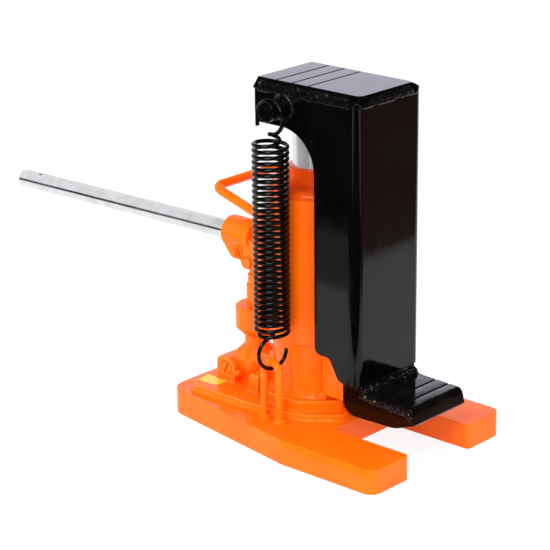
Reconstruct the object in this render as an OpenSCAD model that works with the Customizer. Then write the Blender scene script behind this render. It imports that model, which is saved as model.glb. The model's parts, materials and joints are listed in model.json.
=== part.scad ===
// Hydraulic toe jack for track and machinery work.
// Millimetres, +Z up. The ram's axis on the ground is the origin, the toe points to +X,
// and the pump handle to -X. The lifting frame is modelled part of the way up its stroke.

/* [Base plate] */
// Thickness of the forked base plate
base_t = 30; // [24:1:36]
// Width across the fork
base_w = 236; // [228:1:250]
// Distance from the ram axis to the fork tips
fork_tip_x = 185; // [175:1:200]
// Distance from the ram axis to the bottom of the fork slot
crotch_x = 73; // [72:1:76]
// Width of the fork slot
slot_w = 109; // [104:1:116]
// Where the sides begin to taper towards the back
taper_x = 49; // [35:1:60]
// Distance from the ram axis to the back edge
base_back_x = 162; // [158:1:175]
// Width of the back edge
base_back_w = 166; // [158:1:180]
// Radius of the fork tips' outer corners
base_corner_r = 14; // [8:1:18]
// Radius of the back corners
base_back_r = 26; // [18:1:30]
// Radius of the inner fork corners
slot_corner_r = 5; // [2:1:8]

/* [Body casting] */
// Height of the raised pad on the base plate
pad_h = 8; // [5:1:11]
// Half width of the pad
pad_half_w = 75; // [72:1:75]
// Eight-sided flange, from its axis to a flat
flange_apothem = 59; // [57:0.5:60]
// Height of the eight-sided flange
flange_h = 14; // [11:1:17]
// Height of the sloped ring above the flange
ring_h = 8; // [6:1:11]
// Radius of the boss under the reservoir tube
boss_r = 50.7; // [50.3:0.1:52]
// Height of the boss
boss_h = 58; // [52:1:64]

/* [Cylinder] */
// Outer radius of the reservoir tube
tube_r = 54.5; // [53.5:0.1:54.7]
// Wall of the reservoir tube
tube_wall = 4.5; // [4.3:0.1:5.5]
// Length of the reservoir tube
tube_len = 174; // [170:1:184]
// Height of the cap's rounded shoulder
shoulder_h = 11; // [9:0.5:13]
// Radius of the cap's gland ring
gland_r = 32; // [31:0.5:35]
// Height of the gland ring above the shoulder
gland_h = 19; // [15:1:22]
// Radius of the ram
ram_r = 26.5; // [25:0.1:27]
// Bore radius of the pressure cylinder
cylinder_bore_r = 30; // [29:0.1:31]
// Wall of the pressure cylinder
cylinder_wall = 6; // [5:0.5:7]
// Height of the piston
piston_h = 25; // [20:1:30]

/* [Lifting frame] */
// Height of the frame above its lowest position
rest_lift = 49; // [40:1:60]
// Gap between the lowered toe and the ground
toe_ground_gap = 1.5; // [1:0.5:4]
// Height of the frame, from the toe's underside to the head
frame_h = 375; // [368:1:385]
// Width of the lifting frame
frame_w = 115.6; // [114:0.2:118]
// Thickness of the side plates
side_wall = 17.6; // [17:0.1:18]
// Thickness of the front plate
front_wall = 9.4; // [8:0.1:11]
// Distance from the ram axis to the front face
front_x = 110.2; // [108:0.2:113]
// Distance from the ram axis to the frame's back edge at the head
frame_back_x = 40; // [36:1:44]
// Back edge of the side plates beside the cylinder
side_back_x = 47.9; // [47:0.1:50]
// Outer radius of the channel's bends
bend_r = 12; // [9:0.5:13]
// Thickness of the head plate
head_t = 10.6; // [9:0.2:13]
// Height of the head's ears, below the head plate
ear_h = 38.4; // [34:0.2:42]
// Radius of the window under the ears
window_r = 48; // [40:0.5:49]
// Lower end of the deep part of the side plates, above the toe's underside
side_foot_h = 66.5; // [60:0.5:70]
// Lower end of the front plate, above the toe's underside
front_foot_h = 39.5; // [37:0.5:42]
// Inset of the head's flat top from the side plates' faces
head_side_slope = 11.8; // [8:0.2:13]
// Inset of the head's flat top from the front face
head_front_slope = 5; // [3:0.2:7]
// How far the head plate stands past the side plates at the back
head_over = 5; // [2:0.5:7]
// Width of a grip groove
groove_w = 2; // [1:0.25:3]
// Depth of a grip groove
groove_d = 1.4; // [0.6:0.2:2]
// Distance between the head's grooves
head_groove_step = 23.7; // [18:0.1:26]

/* [Toe] */
// Thickness of the toe
toe_t = 29; // [26:0.5:31]
// Width of the toe at the front plate
toe_w = 96; // [94:0.5:98]
// Width of the toe's tip
toe_tip_w = 90; // [86:0.5:92]
// Distance from the ram axis to the toe's tip
toe_tip_x = 186.4; // [180:0.2:192]
// Back edge of the toe's cheeks
toe_back_x = 82; // [78:0.5:88]
// Radius under the back of the cheeks
toe_heel_r = 17; // [10:1:22]
// Distance between the toe's grooves
toe_groove_step = 19; // [14:0.5:22]

/* [Guide] */
// Height of the guide block's lower end above the sloped ring
guide_gap = 0.5; // [0.5:0.5:4]
// Running gap between guide and frame
guide_clear = 0.6; // [0.4:0.1:1]
// Radius of the guide's front corners
guide_corner_r = 11; // [6:1:14]
// Back edge of the guide's running faces
guide_step_x = 45; // [42:0.5:50]

/* [Return springs] */
// Wire of the springs
spring_wire = 4.4; // [3.6:0.2:4.6]
// Outer diameter of the coil
spring_od = 43; // [40:0.1:44]
// Distance of each spring from the centre plane
spring_y = 80; // [79.5:0.5:82]
// Place of the springs along the jack
spring_x = 3.6; // [2:0.2:5]
// Curls of one spring
spring_turns = 31; // [24:1:34]
// Radius of the pegs that carry the upper hooks
peg_r = 11.5; // [9:0.5:12]
// Radius of the groove that keeps the hook on its peg
peg_groove_r = 8.9; // [8:0.1:9.5]
// How far the pegs reach past the springs' axes
peg_over = 8; // [5:1:14]
// Diameter of the staples' rod
staple_d = 9; // [7:0.5:10]
// Distance between a staple's legs
staple_w = 23.6; // [22:0.4:28]
// Height of the staples above the base plate
staple_h = 76.5; // [72:0.5:82]

/* [Pump] */
// Distance from the ram axis back to the pump
pump_x = 94; // [92:0.5:95]
// Radius of the pump column
column_r = 15; // [14:0.5:16.5]
// Height of the pump foot's straight part above the pad
foot_h = 29; // [25:1:31]
// Radius of the pump foot
foot_r = 28.3; // [25:0.1:29]
// Radius of the collar
collar_r = 25.8; // [23:0.2:27]
// Height of the collar
collar_h = 37; // [32:1:40]
// Radius of the plunger
plunger_r = 10.5; // [9:0.1:10.7]
// Height of the gland sleeve on the collar
sleeve_h = 26; // [16:1:27]
// Distance from the fulcrum to the plunger pin
lever_arm = 24; // [23:0.5:25]
// Height of the fulcrum above the ground
fulcrum_z = 185; // [184:0.5:190]
// Radius of the lever pins
pin_r = 4.5; // [4:0.25:4.75]

/* [Lever] */
// Outer radius of the handle tube
handle_r = 11; // [10:0.1:11.5]
// Wall of the handle tube
handle_wall = 2.5; // [2:0.1:3.5]
// Length of the handle tube
handle_len = 406; // [380:1:440]
// How far the handle tube goes into the socket
handle_depth = 36; // [32:1:38]
// Outer radius of the socket
socket_r = 19.5; // [18.5:0.1:20]
// Length of the socket's round part
socket_len = 42.7; // [40:0.1:48]
// Height of the handle's axis above the fulcrum
handle_rise = 29.6; // [29:0.1:32]
// Droop of the handle at rest, in degrees
handle_droop = 0.76; // [0:0.02:1.5]

/* [Carry handle] */
// Diameter of the carry handle's rod
carry_d = 10.6; // [9:0.2:11]
// Width of the loop between the rod's centres
carry_w = 106; // [104:0.5:107]
// Length of the loop along its legs
carry_reach = 100; // [98:0.5:108]
// Height of the grip above the ground
carry_z = 285.2; // [282:0.2:292]
// Upward tilt of the loop, in degrees
carry_tilt = 16.7; // [14:0.1:18]
// Bend radius of the loop
carry_bend_r = 13; // [10:0.5:16]

/* [Release valve] */
// Distance from the ram axis back to the release screw
valve_x = 108.6; // [108:0.1:110]
// Height of the release screw
valve_z = 55.1; // [54.5:0.1:56]
// Distance of the valve face from the centre plane
valve_face_y = 40; // [39:0.5:42]
// Half width of the valve block
valve_boss_r = 13.2; // [12.5:0.1:13.5]
// Radius of the release screw
release_r = 8; // [7:0.1:8.5]

/* [Hidden] */
$fn = 64;
fit = 0.05;
soft_gap = 0.3;
over = 1;
orange = [1.0, 0.42, 0.03];
black = [0.06, 0.06, 0.07];
chrome = [0.82, 0.83, 0.86];
zinc = [0.74, 0.75, 0.77];
steel = [0.5, 0.5, 0.52];
copper = [0.72, 0.42, 0.2];
rubber = [0.1, 0.1, 0.1];

// Base plate and pad outlines
taper_r = 60;
pad_front_x = flange_apothem + 8;
pad_front_half = 32;
pad_front_r = 8;
pad_shoulder_x = flange_apothem * 0.6;
pad_waist = 5;
pad_corner_r = 12;
pad_side_x = pump_x - 40;
pad_back_gap = 16;
pad_back_cut = 18;
pad_cut_w = 23;

// Heights of the hydraulic unit
pad_top = base_t + pad_h;
flange_top = pad_top + flange_h;
ring_top = flange_top + ring_h;
boss_top = ring_top + boss_h;
tube_top = boss_top + tube_len;
shoulder_top = tube_top + shoulder_h;
gland_top = shoulder_top + gland_h;
ring_slope = 3.5;
spigot_h = 12;
spigot_wall = 6;
bridge_h = foot_h + 8;
valve_top_z = valve_z + 12;
valve_left = valve_boss_r + 2;
valve_left_r = 4;
valve_right_r = 12;
rib_x = pump_x - 24;
rib_y = 26;
rib_len = 18;
rib_w = 20;
rib_h = 22;
rib_lean = 5.4;
rib_r = 3;
tube_bore_r = tube_r - tube_wall;
cylinder_r = cylinder_bore_r + cylinder_wall;
cylinder_floor = ring_top;
gasket_h = 2;
cylinder_top = tube_top + 2;
cap_seal_w = 3;
cap_seal_h = 2;
cap_spigot_z = tube_top - 14;
cap_ring_r = gland_r + 3;
cap_ring_z = shoulder_top + 4;
cap_neck_r = gland_r + 1;
cap_neck_z = shoulder_top + 8;
cap_step = 1;
gland_edge_r = 2;
wiper_w = 4;
wiper_top = gland_top - 1;
wiper_z = wiper_top - 4;

// Heights of the lifting frame
frame_z = toe_ground_gap + rest_lift;
head_top = frame_z + frame_h;
head_under = head_top - head_t;
ear_z = head_under - ear_h;
side_foot_z = frame_z + side_foot_h;
front_foot_z = frame_z + front_foot_h;
toe_top = frame_z + toe_t;
front_in_x = front_x - front_wall;
side_in_y = frame_w / 2 - side_wall;
front_in_r = 3;
side_r = 9;
foot_step_x = side_back_x + 21.6;
foot_step_r = 7;
foot_end_x = side_back_x + 34.6;
foot_end_rise = 3.5;
foot_heel_x = side_back_x + 44;
head_back_r = 3;
head_back_x = frame_back_x + head_over;
head_rim = 1;
head_groove_x = -head_back_x + 27.7 - groove_w / 2;
toe_groove_x = toe_tip_x - 43.4 - groove_w / 2;
toe_slope_x = toe_tip_x - 30;
toe_slope_r = 40;
toe_nose_h = 11;
toe_nose_r = 2;
toe_lip = 5;
toe_lip_r = 8;
toe_root_r = 6;
piston_gap = 4;
piston_z = cylinder_floor + gasket_h + piston_gap + rest_lift;
piston_seal_w = 5;
piston_seal_h = 8;
piston_seal_z = piston_z + 8;
seat_h = 12;
seat_wall = 7;
seat_r = ram_r + seat_wall;

// Guide block
guide_z = ring_top + guide_gap;
guide_top = tube_top - 2;
guide_half_w = side_in_y - guide_clear;
guide_front_x = front_in_x - guide_clear;
guide_back_x = boss_r / 2;
guide_neck = 10;
guide_neck_half = guide_half_w - guide_neck;

// Springs, pegs and staples
coil_r = (spring_od - spring_wire) / 2;
hook_gap = 0.6;
peg_drop = 3.5;
peg_x = spring_x + 0.4;
peg_groove_w = spring_wire + 1.6;
staple_x = spring_x - 1.6;
peg_z = head_under - peg_r - peg_drop;
peg_end_y = spring_y + peg_over;
loop_z = peg_z + peg_groove_r + hook_gap + spring_wire / 2 - coil_r;
arch_z = base_t + staple_h - staple_d / 2;
eye_z = arch_z - staple_d / 2 - hook_gap - spring_wire / 2 + coil_r;
upper_drop = 9.8;
lower_drop = 5.4;
coil_top = loop_z - coil_r - upper_drop;
coil_bottom = eye_z + coil_r + lower_drop;

// Pump and lever
foot_top = pad_top + foot_h;
foot_cone_h = 12;
column_h = 13.5;
column_edge = 1;
collar_z = foot_top + foot_cone_h + column_h;
collar_top = collar_z + collar_h;
sleeve_top = collar_top + sleeve_h;
sleeve_wall = 1.7;
collar_bevel = 9;
collar_edge_r = 3;
barrel_z = pad_top + 12;
barrel_floor = barrel_z + 8;
plunger_z = barrel_floor + 12;
plunger_shoulder = fulcrum_z - 17;
eye_r = 7;
neck_half = 5.5;
eye_half = 7.5;
eye_clear = 0.5;
cheek_in = 8;
cheek_out = 15;
fulcrum_x = pump_x - lever_arm;
lug_r = 9;
lug_top_z = collar_top - 14;
lug_root = 8;
lug_low = 14;
packing_h = 6;
packing_w = 3;
packing_z = collar_top - 20;
pin_head_h = 3;
pin_head_r = pin_r + 2;
pin_clip_h = 2;
pin_clip_r = pin_r + 1.5;
handle_axis_z = fulcrum_z + handle_rise;
socket_front_x = pump_x - 2;
socket_back_x = socket_front_x + socket_len;
bore_end_x = socket_back_x - handle_depth;
handle_end_x = bore_end_x + handle_len;
bolt_x = pump_x + 16.5;
bolt_z = fulcrum_z + 10.6;
bolt_r = 3;
bolt_hex_r = 5.7;
bolt_head_h = 4.5;
bolt_tail = 4;
nut_h = 5;
nut_proud = 2;
slit_w = 2.4;
cheek_nose = 10;
cheek_nose_r = 9;
cheek_heel = 9;
cheek_notch = 13;
cheek_notch_r = 3;
cheek_low = 8.5;
cheek_bolt = 9.5;
cheek_r = 8;
cheek_heel_r = 6;
cheek_end = 4;
socket_front_step = 1;
socket_taper_len = 12;
socket_taper_r = 20;
socket_front_r = 3;
socket_back_r = 3;

// Outline helpers: each corner is [x, y, radius]
function unit(v) = v / norm(v);
function xy(p) = [p[0], p[1]];
function wrap(a) = a > 180 ? a - 360 : (a < -180 ? a + 360 : a);
function corner(prev, p, next, steps) =
    let (
        u = unit(xy(prev) - xy(p)),
        v = unit(xy(next) - xy(p)),
        half = acos(u * v) / 2,
        r = p[2],
        centre = xy(p) + unit(u + v) * r / sin(half),
        from = xy(p) + u * r / tan(half) - centre,
        to = xy(p) + v * r / tan(half) - centre,
        start = atan2(from[1], from[0]),
        sweep = wrap(atan2(to[1], to[0]) - start)
    )
    r <= 0 ? [xy(p)] : [for (i = [0:steps]) centre + r * [cos(start + sweep * i / steps),
                                                         sin(start + sweep * i / steps)]];
function rounded(points, steps = 10) =
    let (n = len(points))
    [for (i = [0:n - 1]) each corner(points[(i + n - 1) % n], points[i], points[(i + 1) % n], steps)];
function mirrored(half) =
    concat(half, [for (i = [len(half) - 1:-1:0]) [half[i][0], -half[i][1], half[i][2]]]);

// Extrudes an XZ outline along Y, centred on the middle plane
module across(width) {
    translate([0, width / 2, 0])
        rotate([90, 0, 0])
            linear_extrude(width)
                children();
}

// A cylinder along Y between two places
module rod_y(r, y0, y1) {
    translate([0, y1, 0])
        rotate([90, 0, 0])
            cylinder(r = r, h = y1 - y0);
}

// A plain ring between two heights
module ring(r_out, r_in, z0, z1) {
    difference() {
        translate([0, 0, z0])
            cylinder(r = r_out, h = z1 - z0);
        translate([0, 0, z0 - over])
            cylinder(r = r_in, h = z1 - z0 + 2 * over);
    }
}

// Base plate
module base_plate() {
    half = [
        [fork_tip_x, slot_w / 2, slot_corner_r],
        [fork_tip_x, base_w / 2, base_corner_r],
        [taper_x, base_w / 2, taper_r],
        [-base_back_x, base_back_w / 2, base_back_r]
    ];
    slot = [
        [crotch_x, -slot_w / 2, slot_corner_r / 2],
        [crotch_x, slot_w / 2, slot_corner_r / 2]
    ];
    outline = rounded(concat(mirrored(half), slot));
    color(orange)
        linear_extrude(base_t)
            polygon(outline);
}

// Body casting
module pad() {
    half = [
        [pad_front_x, pad_front_half, pad_front_r],
        [pad_shoulder_x, flange_apothem, pad_corner_r],
        [0, pad_half_w - pad_waist, pad_corner_r],
        [-pad_side_x, pad_half_w, pad_corner_r],
        [-base_back_x + pad_back_gap + pad_back_cut, pad_half_w, pad_corner_r],
        [-base_back_x + pad_back_gap, pad_half_w - pad_cut_w, pad_corner_r]
    ];
    translate([0, 0, base_t])
        linear_extrude(pad_h)
            polygon(rounded(mirrored(half)));
}

module flange_and_boss() {
    flange_r = flange_apothem / cos(22.5);
    translate([0, 0, pad_top])
        linear_extrude(flange_h)
            polygon([for (i = [0:7]) flange_r * [cos(45 * i + 22.5), sin(45 * i + 22.5)]]);
    translate([0, 0, flange_top])
        cylinder(r1 = boss_r + ring_slope, r2 = boss_r, h = ring_h);
    translate([0, 0, pad_top])
        cylinder(r = boss_r, h = boss_top - pad_top);
    ring(tube_bore_r, tube_bore_r - spigot_wall, boss_top - over, boss_top + spigot_h);
}

module pump_foot() {
    translate([-pump_x, 0, pad_top]) {
        cylinder(r = foot_r, h = foot_h);
        translate([0, 0, foot_h])
            cylinder(r1 = foot_r, r2 = column_r + column_edge, h = foot_cone_h);
    }
    translate([-pump_x, -column_r, pad_top])
        cube([pump_x - boss_r / 2, 2 * column_r, bridge_h]);
}

module valve_boss() {
    block = rounded([
        [-valve_x - valve_left, pad_top, 0],
        [-valve_x - valve_left, valve_top_z, valve_left_r],
        [-valve_x + valve_boss_r, valve_top_z, valve_right_r],
        [-valve_x + valve_boss_r, pad_top, 0]
    ]);
    rotate([90, 0, 0])
        linear_extrude(valve_face_y)
            polygon(block);
}

module side_rib() {
    rib = [[0, 0, 0], [rib_len, 0, 0], [rib_len, rib_h, rib_r], [rib_lean, rib_h, rib_r]];
    translate([-rib_x, -rib_y, pad_top])
        rotate([90, 0, 0])
            linear_extrude(rib_w)
                polygon(rounded(rib));
}

module body_casting() {
    color(orange)
        difference() {
            union() {
                pad();
                flange_and_boss();
                pump_foot();
                valve_boss();
                side_rib();
            }
            translate([0, 0, cylinder_floor])
                cylinder(r = cylinder_r, h = boss_top);
            translate([0, 0, boss_top - spigot_h])
                cylinder(r = tube_bore_r - spigot_wall, h = 2 * spigot_h + over);
            translate([-pump_x, 0, barrel_z])
                cylinder(r = column_r, h = foot_h + foot_cone_h);
            translate([-valve_x, 0, valve_z]) {
                rod_y(release_r + fit, -valve_face_y - over, -valve_face_y + release_len);
                rod_y(release_ball_r + fit, -valve_face_y, release_ball_y + release_ball_r + fit);
            }
            valve_passages();
            plugs();
        }
}

// Check valve passages: inlet below the pump, outlet between the pump and the cylinder
check_r = 4;
check_ball_r = 3.6;
outlet_spring_len = 14;
outlet_spring_wall = 1.2;
passage_z = pad_top + 6;
outlet_x = pump_x - 34;
release_ball_r = 4;
release_len = 19;
release_tip = 2;
release_ball_y = -valve_face_y + release_len + release_tip + soft_gap + release_ball_r;

module valve_passages() {
    translate([-pump_x, 0, passage_z - check_r])
        cylinder(r = check_r, h = barrel_z - passage_z + check_r + over);
    translate([-pump_x, 0, passage_z])
        rotate([0, 90, 0])
            cylinder(r = check_r, h = pump_x);
    translate([0, 0, passage_z])
        cylinder(r = check_r, h = cylinder_floor - passage_z + over);
}

module inlet_ball() {
    color(steel)
        translate([-pump_x, 0, passage_z - check_r + check_ball_r + fit])
            sphere(r = check_ball_r);
}

module outlet_ball() {
    color(steel)
        translate([-outlet_x, 0, passage_z - check_r + check_ball_r + fit])
            sphere(r = check_ball_r);
}

module outlet_spring() {
    color(steel)
        translate([-outlet_x + check_ball_r + soft_gap, 0, passage_z])
            rotate([0, 90, 0])
                difference() {
                    cylinder(r = check_r - fit, h = outlet_spring_len);
                    translate([0, 0, -over])
                        cylinder(r = check_r - outlet_spring_wall, h = outlet_spring_len + 2 * over);
                }
}

module release_ball() {
    color(steel)
        translate([-valve_x, release_ball_y, valve_z])
            sphere(r = release_ball_r);
}

// Two small plugs between the release valve and the rib
plug_r = 4.3;
plug_len = 10;
plug_depth = 4.5;
plug_in = 5;
plug_drop = 5;
rib_plug_depth = 8;
rib_plug_z = pad_top + 12;
plug_places = [
    [-valve_x + valve_boss_r - plug_depth, -valve_face_y + plug_in, valve_z - plug_drop],
    [-rib_x + rib_plug_depth - plug_len, -rib_y - rib_w / 2, rib_plug_z]
];

module plugs() {
    for (place = plug_places)
        translate(place)
            rotate([0, 90, 0])
                cylinder(r = plug_r, h = plug_len);
}

module valve_plugs() {
    color(orange)
        plugs();
}

// Reservoir, cylinder and cap
filler_z = tube_top - 22;
filler_angle = 158;
filler_r = 5;
filler_tail = 3;
filler_rim = 3;
filler_rim_h = 4;

module at_filler() {
    translate([0, 0, filler_z])
        rotate(filler_angle)
            rotate([0, 90, 0])
                children();
}

module reservoir_tube() {
    color(orange)
        difference() {
            ring(tube_r, tube_bore_r, boss_top, tube_top);
            at_filler()
                translate([0, 0, tube_bore_r - tube_wall])
                    cylinder(r = filler_r, h = 3 * tube_wall);
        }
}

module filler_plug() {
    color(rubber)
        at_filler() {
            translate([0, 0, tube_bore_r])
                cylinder(r = filler_r, h = tube_wall + filler_tail);
            translate([0, 0, tube_r + soft_gap])
                cylinder(r = filler_r + filler_rim, h = filler_rim_h);
        }
}

module cylinder_gasket() {
    color(copper)
        ring(cylinder_r, cylinder_bore_r, cylinder_floor, cylinder_floor + gasket_h);
}

module pressure_cylinder() {
    color(steel)
        ring(cylinder_r, cylinder_bore_r, cylinder_floor + gasket_h, cylinder_top);
}

module cap_seal() {
    color(rubber)
        ring(cylinder_r, cylinder_r - cap_seal_w, cylinder_top, cylinder_top + cap_seal_h);
}

module ram_wiper() {
    color(rubber)
        ring(ram_r + wiper_w, ram_r + fit, wiper_z, wiper_top);
}

module top_cap() {
    seal_top = cylinder_top + cap_seal_h;
    profile = rounded([
        [tube_bore_r, cap_spigot_z, 0],
        [tube_bore_r, tube_top, 0],
        [tube_r, tube_top, 0],
        [tube_r, shoulder_top - cap_step, shoulder_h - 2 * cap_step],
        [cap_ring_r, shoulder_top, 0],
        [cap_ring_r, cap_ring_z, cap_step],
        [cap_neck_r, cap_ring_z + cap_step, 0],
        [cap_neck_r, cap_neck_z, cap_step / 2],
        [gland_r, cap_neck_z + cap_step, 0],
        [gland_r, gland_top, gland_edge_r],
        [ram_r + fit, gland_top, 0],
        [ram_r + fit, seal_top, 0],
        [cylinder_r, seal_top, 0],
        [cylinder_r, cap_spigot_z, 0]
    ]);
    color(orange)
        difference() {
            rotate_extrude()
                polygon(profile);
            ring(ram_r + wiper_w, ram_r - over, wiper_z, wiper_top);
        }
}

// Guide block, hollowed to the shape of the unit behind it
module guide_block() {
    plan = rounded(mirrored([
        [guide_front_x, guide_half_w, guide_corner_r],
        [guide_step_x, guide_half_w, 0],
        [guide_step_x - guide_neck / 2, guide_neck_half, 0],
        [guide_back_x, guide_neck_half, 0]
    ]));
    color(orange)
        difference() {
            translate([0, 0, guide_z])
                linear_extrude(guide_top - guide_z)
                    polygon(plan);
            translate([0, 0, boss_top])
                cylinder(r = tube_r, h = tube_len);
            translate([0, 0, guide_z - over])
                cylinder(r = boss_r, h = boss_top - guide_z + 2 * over);
        }
}

// Carry handle: a loop of rod in a tilted plane, its legs ending on the tube
carry_start = 14;
carry_half = carry_w / 2;

module carry_tilted() {
    rise = carry_reach * sin(carry_tilt);
    translate([-carry_start, 0, carry_z - rise])
        rotate([0, carry_tilt, 0])
            children();
}

module carry_leg(side) {
    leg = carry_reach - carry_bend_r;
    translate([-leg, side * carry_half, 0])
        rotate([0, 90, 0])
            cylinder(d = carry_d, h = leg);
}

module carry_bend(side) {
    translate([-carry_reach + carry_bend_r, side * (carry_half - carry_bend_r), 0])
        rotate(side > 0 ? 90 : 180)
            rotate_extrude(angle = 90)
                translate([carry_bend_r, 0])
                    circle(d = carry_d);
}

module carry_handle() {
    color(orange) {
        for (side = [-1, 1]) {
            difference() {
                carry_tilted()
                    carry_leg(side);
                translate([0, 0, boss_top])
                    cylinder(r = tube_r, h = tube_len);
            }
            carry_tilted()
                carry_bend(side);
        }
        carry_tilted()
            translate([-carry_reach, 0, 0])
                rod_y(carry_d / 2, -carry_half + carry_bend_r, carry_half - carry_bend_r);
    }
}

// Staples that hold the springs' lower hooks
module staple(side) {
    bend = staple_w / 2;
    leg_h = arch_z - bend - base_t;
    color(orange)
        translate([staple_x, side * spring_y, base_t]) {
            for (end = [-1, 1])
                translate([end * bend, 0, 0])
                    cylinder(d = staple_d, h = leg_h);
            translate([0, 0, leg_h])
                rotate([90, 0, 0])
                    rotate_extrude(angle = 180)
                        translate([bend, 0])
                            circle(d = staple_d);
        }
}

module spring_anchor_left() {
    staple(-1);
}

module spring_anchor_right() {
    staple(1);
}

// Return springs: upper loop, inward spiral, coil, inward spiral, lower ring, as one wire
rings_per_curl = 8;
rings_per_hook = 20;
wire_sides = 6;
hook_leg = 12;
leg_rings = 3;
loop_from = 180;
loop_to = -90;
upper_sweep = 270;
eye_turn = 77;
lower_sweep = 193;
eye_from = 90;
eye_to = 362;

function upper_leg() = [for (i = [0:leg_rings - 1])
    [-coil_r, 0, loop_z - hook_leg * (1 - i / leg_rings)]];

function upper_loop() = [for (i = [0:rings_per_hook - 1])
    let (a = loop_from + (loop_to - loop_from) * i / rings_per_hook)
    [coil_r * cos(a), 0, loop_z + coil_r * sin(a)]];

function upper_spiral() =
    let (n = rings_per_curl, z0 = loop_z - coil_r)
    [for (i = [0:n - 1])
        let (s = i / n, a = 180 - upper_sweep * s, r = coil_r * s, drop = s * s * (3 - 2 * s))
        [r * cos(a), r * sin(a), z0 + (coil_top - z0) * drop]];

function coil() =
    let (n = spring_turns * rings_per_curl)
    [for (i = [0:n - 1])
        let (a = 180 - upper_sweep - 360 * i / rings_per_curl)
        [coil_r * cos(a), coil_r * sin(a), coil_top + (coil_bottom - coil_top) * i / n]];

function lower_spiral() =
    let (n = rings_per_curl - 2, z1 = eye_z + coil_r)
    [for (i = [0:n - 1])
        let (s = i / n, a = 180 - upper_sweep - lower_sweep * s, r = coil_r * (1 - s),
             drop = s * s * (3 - 2 * s))
        [r * cos(a), r * sin(a), coil_bottom + (z1 - coil_bottom) * drop]];

function lower_ring() = [for (i = [0:rings_per_hook])
    let (a = eye_from + (eye_to - eye_from) * i / rings_per_hook)
    [coil_r * cos(a) * cos(eye_turn), coil_r * cos(a) * sin(eye_turn), eye_z + coil_r * sin(a)]];

spring_path = concat(upper_leg(), upper_loop(), upper_spiral(), coil(), lower_spiral(), lower_ring());

// Least gap between stretches of the wire that are not neighbours
spring_gap = min([for (i = [0:len(spring_path) - 1])
    for (j = [i + 6:1:len(spring_path) - 1])
        norm(spring_path[i] - spring_path[j])]) - spring_wire;
echo(spring_gap = spring_gap);

// Sweeps a round wire along points, carrying one side direction from ring to ring
function tangent(p, i) = unit(p[min(i + 1, len(p) - 1)] - p[max(i - 1, 0)]);
function level(v, t) = unit(v - t * (v * t));
function sides(p) = [for (i = 0, v = level([0, 1, 0], tangent(p, 0)); i < len(p);
    i = i + 1, v = level(v, tangent(p, min(i, len(p) - 1)))) v];

module wire(path, d, n) {
    side = sides(path);
    last = len(path) - 1;
    points = [for (i = [0:last])
        let (t = tangent(path, i), u = side[i], w = cross(t, u))
        for (k = [0:n - 1]) path[i] + d / 2 * (cos(360 * k / n) * u + sin(360 * k / n) * w)];
    walls = [for (i = [0:last - 1]) for (k = [0:n - 1])
        let (a = i * n + k, b = i * n + (k + 1) % n)
        each [[a, a + n, b], [b, a + n, b + n]]];
    first_end = [for (k = [1:n - 2]) [0, k, k + 1]];
    last_end = [for (k = [1:n - 2]) [last * n, last * n + k + 1, last * n + k]];
    polyhedron(points, concat(first_end, walls, last_end));
}

module return_spring(side) {
    color(black)
        translate([spring_x, side * spring_y, 0])
            rotate(side < 0 ? 0 : 180)
                wire(spring_path, spring_wire, wire_sides);
}

module return_spring_left() {
    return_spring(-1);
}

module return_spring_right() {
    return_spring(1);
}

// Pump
module pump_barrel() {
    lug_w = 2 * eye_half;
    color(orange)
        difference() {
            union() {
                translate([-pump_x, 0, barrel_z])
                    cylinder(r = column_r, h = collar_z - barrel_z + over);
                translate([-pump_x, 0, 0])
                    rotate_extrude()
                        polygon(rounded([
                            [0, collar_z, 0],
                            [collar_r - collar_bevel, collar_z, 0],
                            [collar_r, collar_z + collar_bevel, collar_bevel / 2],
                            [collar_r, collar_top, collar_edge_r],
                            [0, collar_top, 0]
                        ]));
                translate([-pump_x, 0, collar_top - over])
                    cylinder(r = plunger_r + sleeve_wall, h = sleeve_h + over);
                fulcrum_lug(lug_w);
            }
            translate([-pump_x, 0, barrel_floor])
                cylinder(r = plunger_r + fit, h = sleeve_top);
            translate([-pump_x, 0, 0])
                ring(plunger_r + packing_w, plunger_r - over, packing_z, packing_z + packing_h);
            translate([-pump_x, 0, barrel_z - over])
                cylinder(r = check_r, h = plunger_z - barrel_z);
            translate([-fulcrum_x, 0, fulcrum_z])
                rod_y(pin_r, -lug_w, lug_w);
        }
}

module fulcrum_lug(w) {
    across(w)
        union() {
            translate([-fulcrum_x, fulcrum_z])
                circle(r = lug_r);
            polygon([
                [-fulcrum_x - lug_r, fulcrum_z],
                [-fulcrum_x - lug_r, lug_top_z],
                [-pump_x + collar_r - lug_root, collar_z + lug_root],
                [-fulcrum_x + lug_r, collar_z + lug_low],
                [-fulcrum_x + lug_r, fulcrum_z]
            ]);
        }
}

module pump_packing() {
    color(rubber)
        translate([-pump_x, 0, 0])
            ring(plunger_r + packing_w, plunger_r + fit, packing_z, packing_z + packing_h);
}

module headed_pin(x, z) {
    face = cheek_out + soft_gap;
    translate([x, 0, z]) {
        rod_y(pin_r, -face - pin_head_h, face + pin_head_h);
        rod_y(pin_head_r, -face - pin_head_h, -face);
        rod_y(pin_clip_r, face, face + pin_clip_h);
    }
}

module fulcrum_pin() {
    color(orange)
        headed_pin(-fulcrum_x, fulcrum_z);
}

module pump_plunger() {
    color(orange)
        difference() {
            union() {
                translate([-pump_x, 0, plunger_z])
                    cylinder(r = plunger_r, h = plunger_shoulder - plunger_z);
                across(2 * (eye_half - eye_clear))
                    union() {
                        translate([-pump_x, fulcrum_z])
                            circle(r = eye_r);
                        translate([-pump_x - neck_half, plunger_shoulder - over])
                            square([2 * neck_half, fulcrum_z - plunger_shoulder + over]);
                    }
            }
            translate([-pump_x, 0, fulcrum_z])
                rod_y(pin_r, -cheek_out, cheek_out);
        }
}

module plunger_pin() {
    color(orange)
        headed_pin(-pump_x, fulcrum_z);
}

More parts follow.
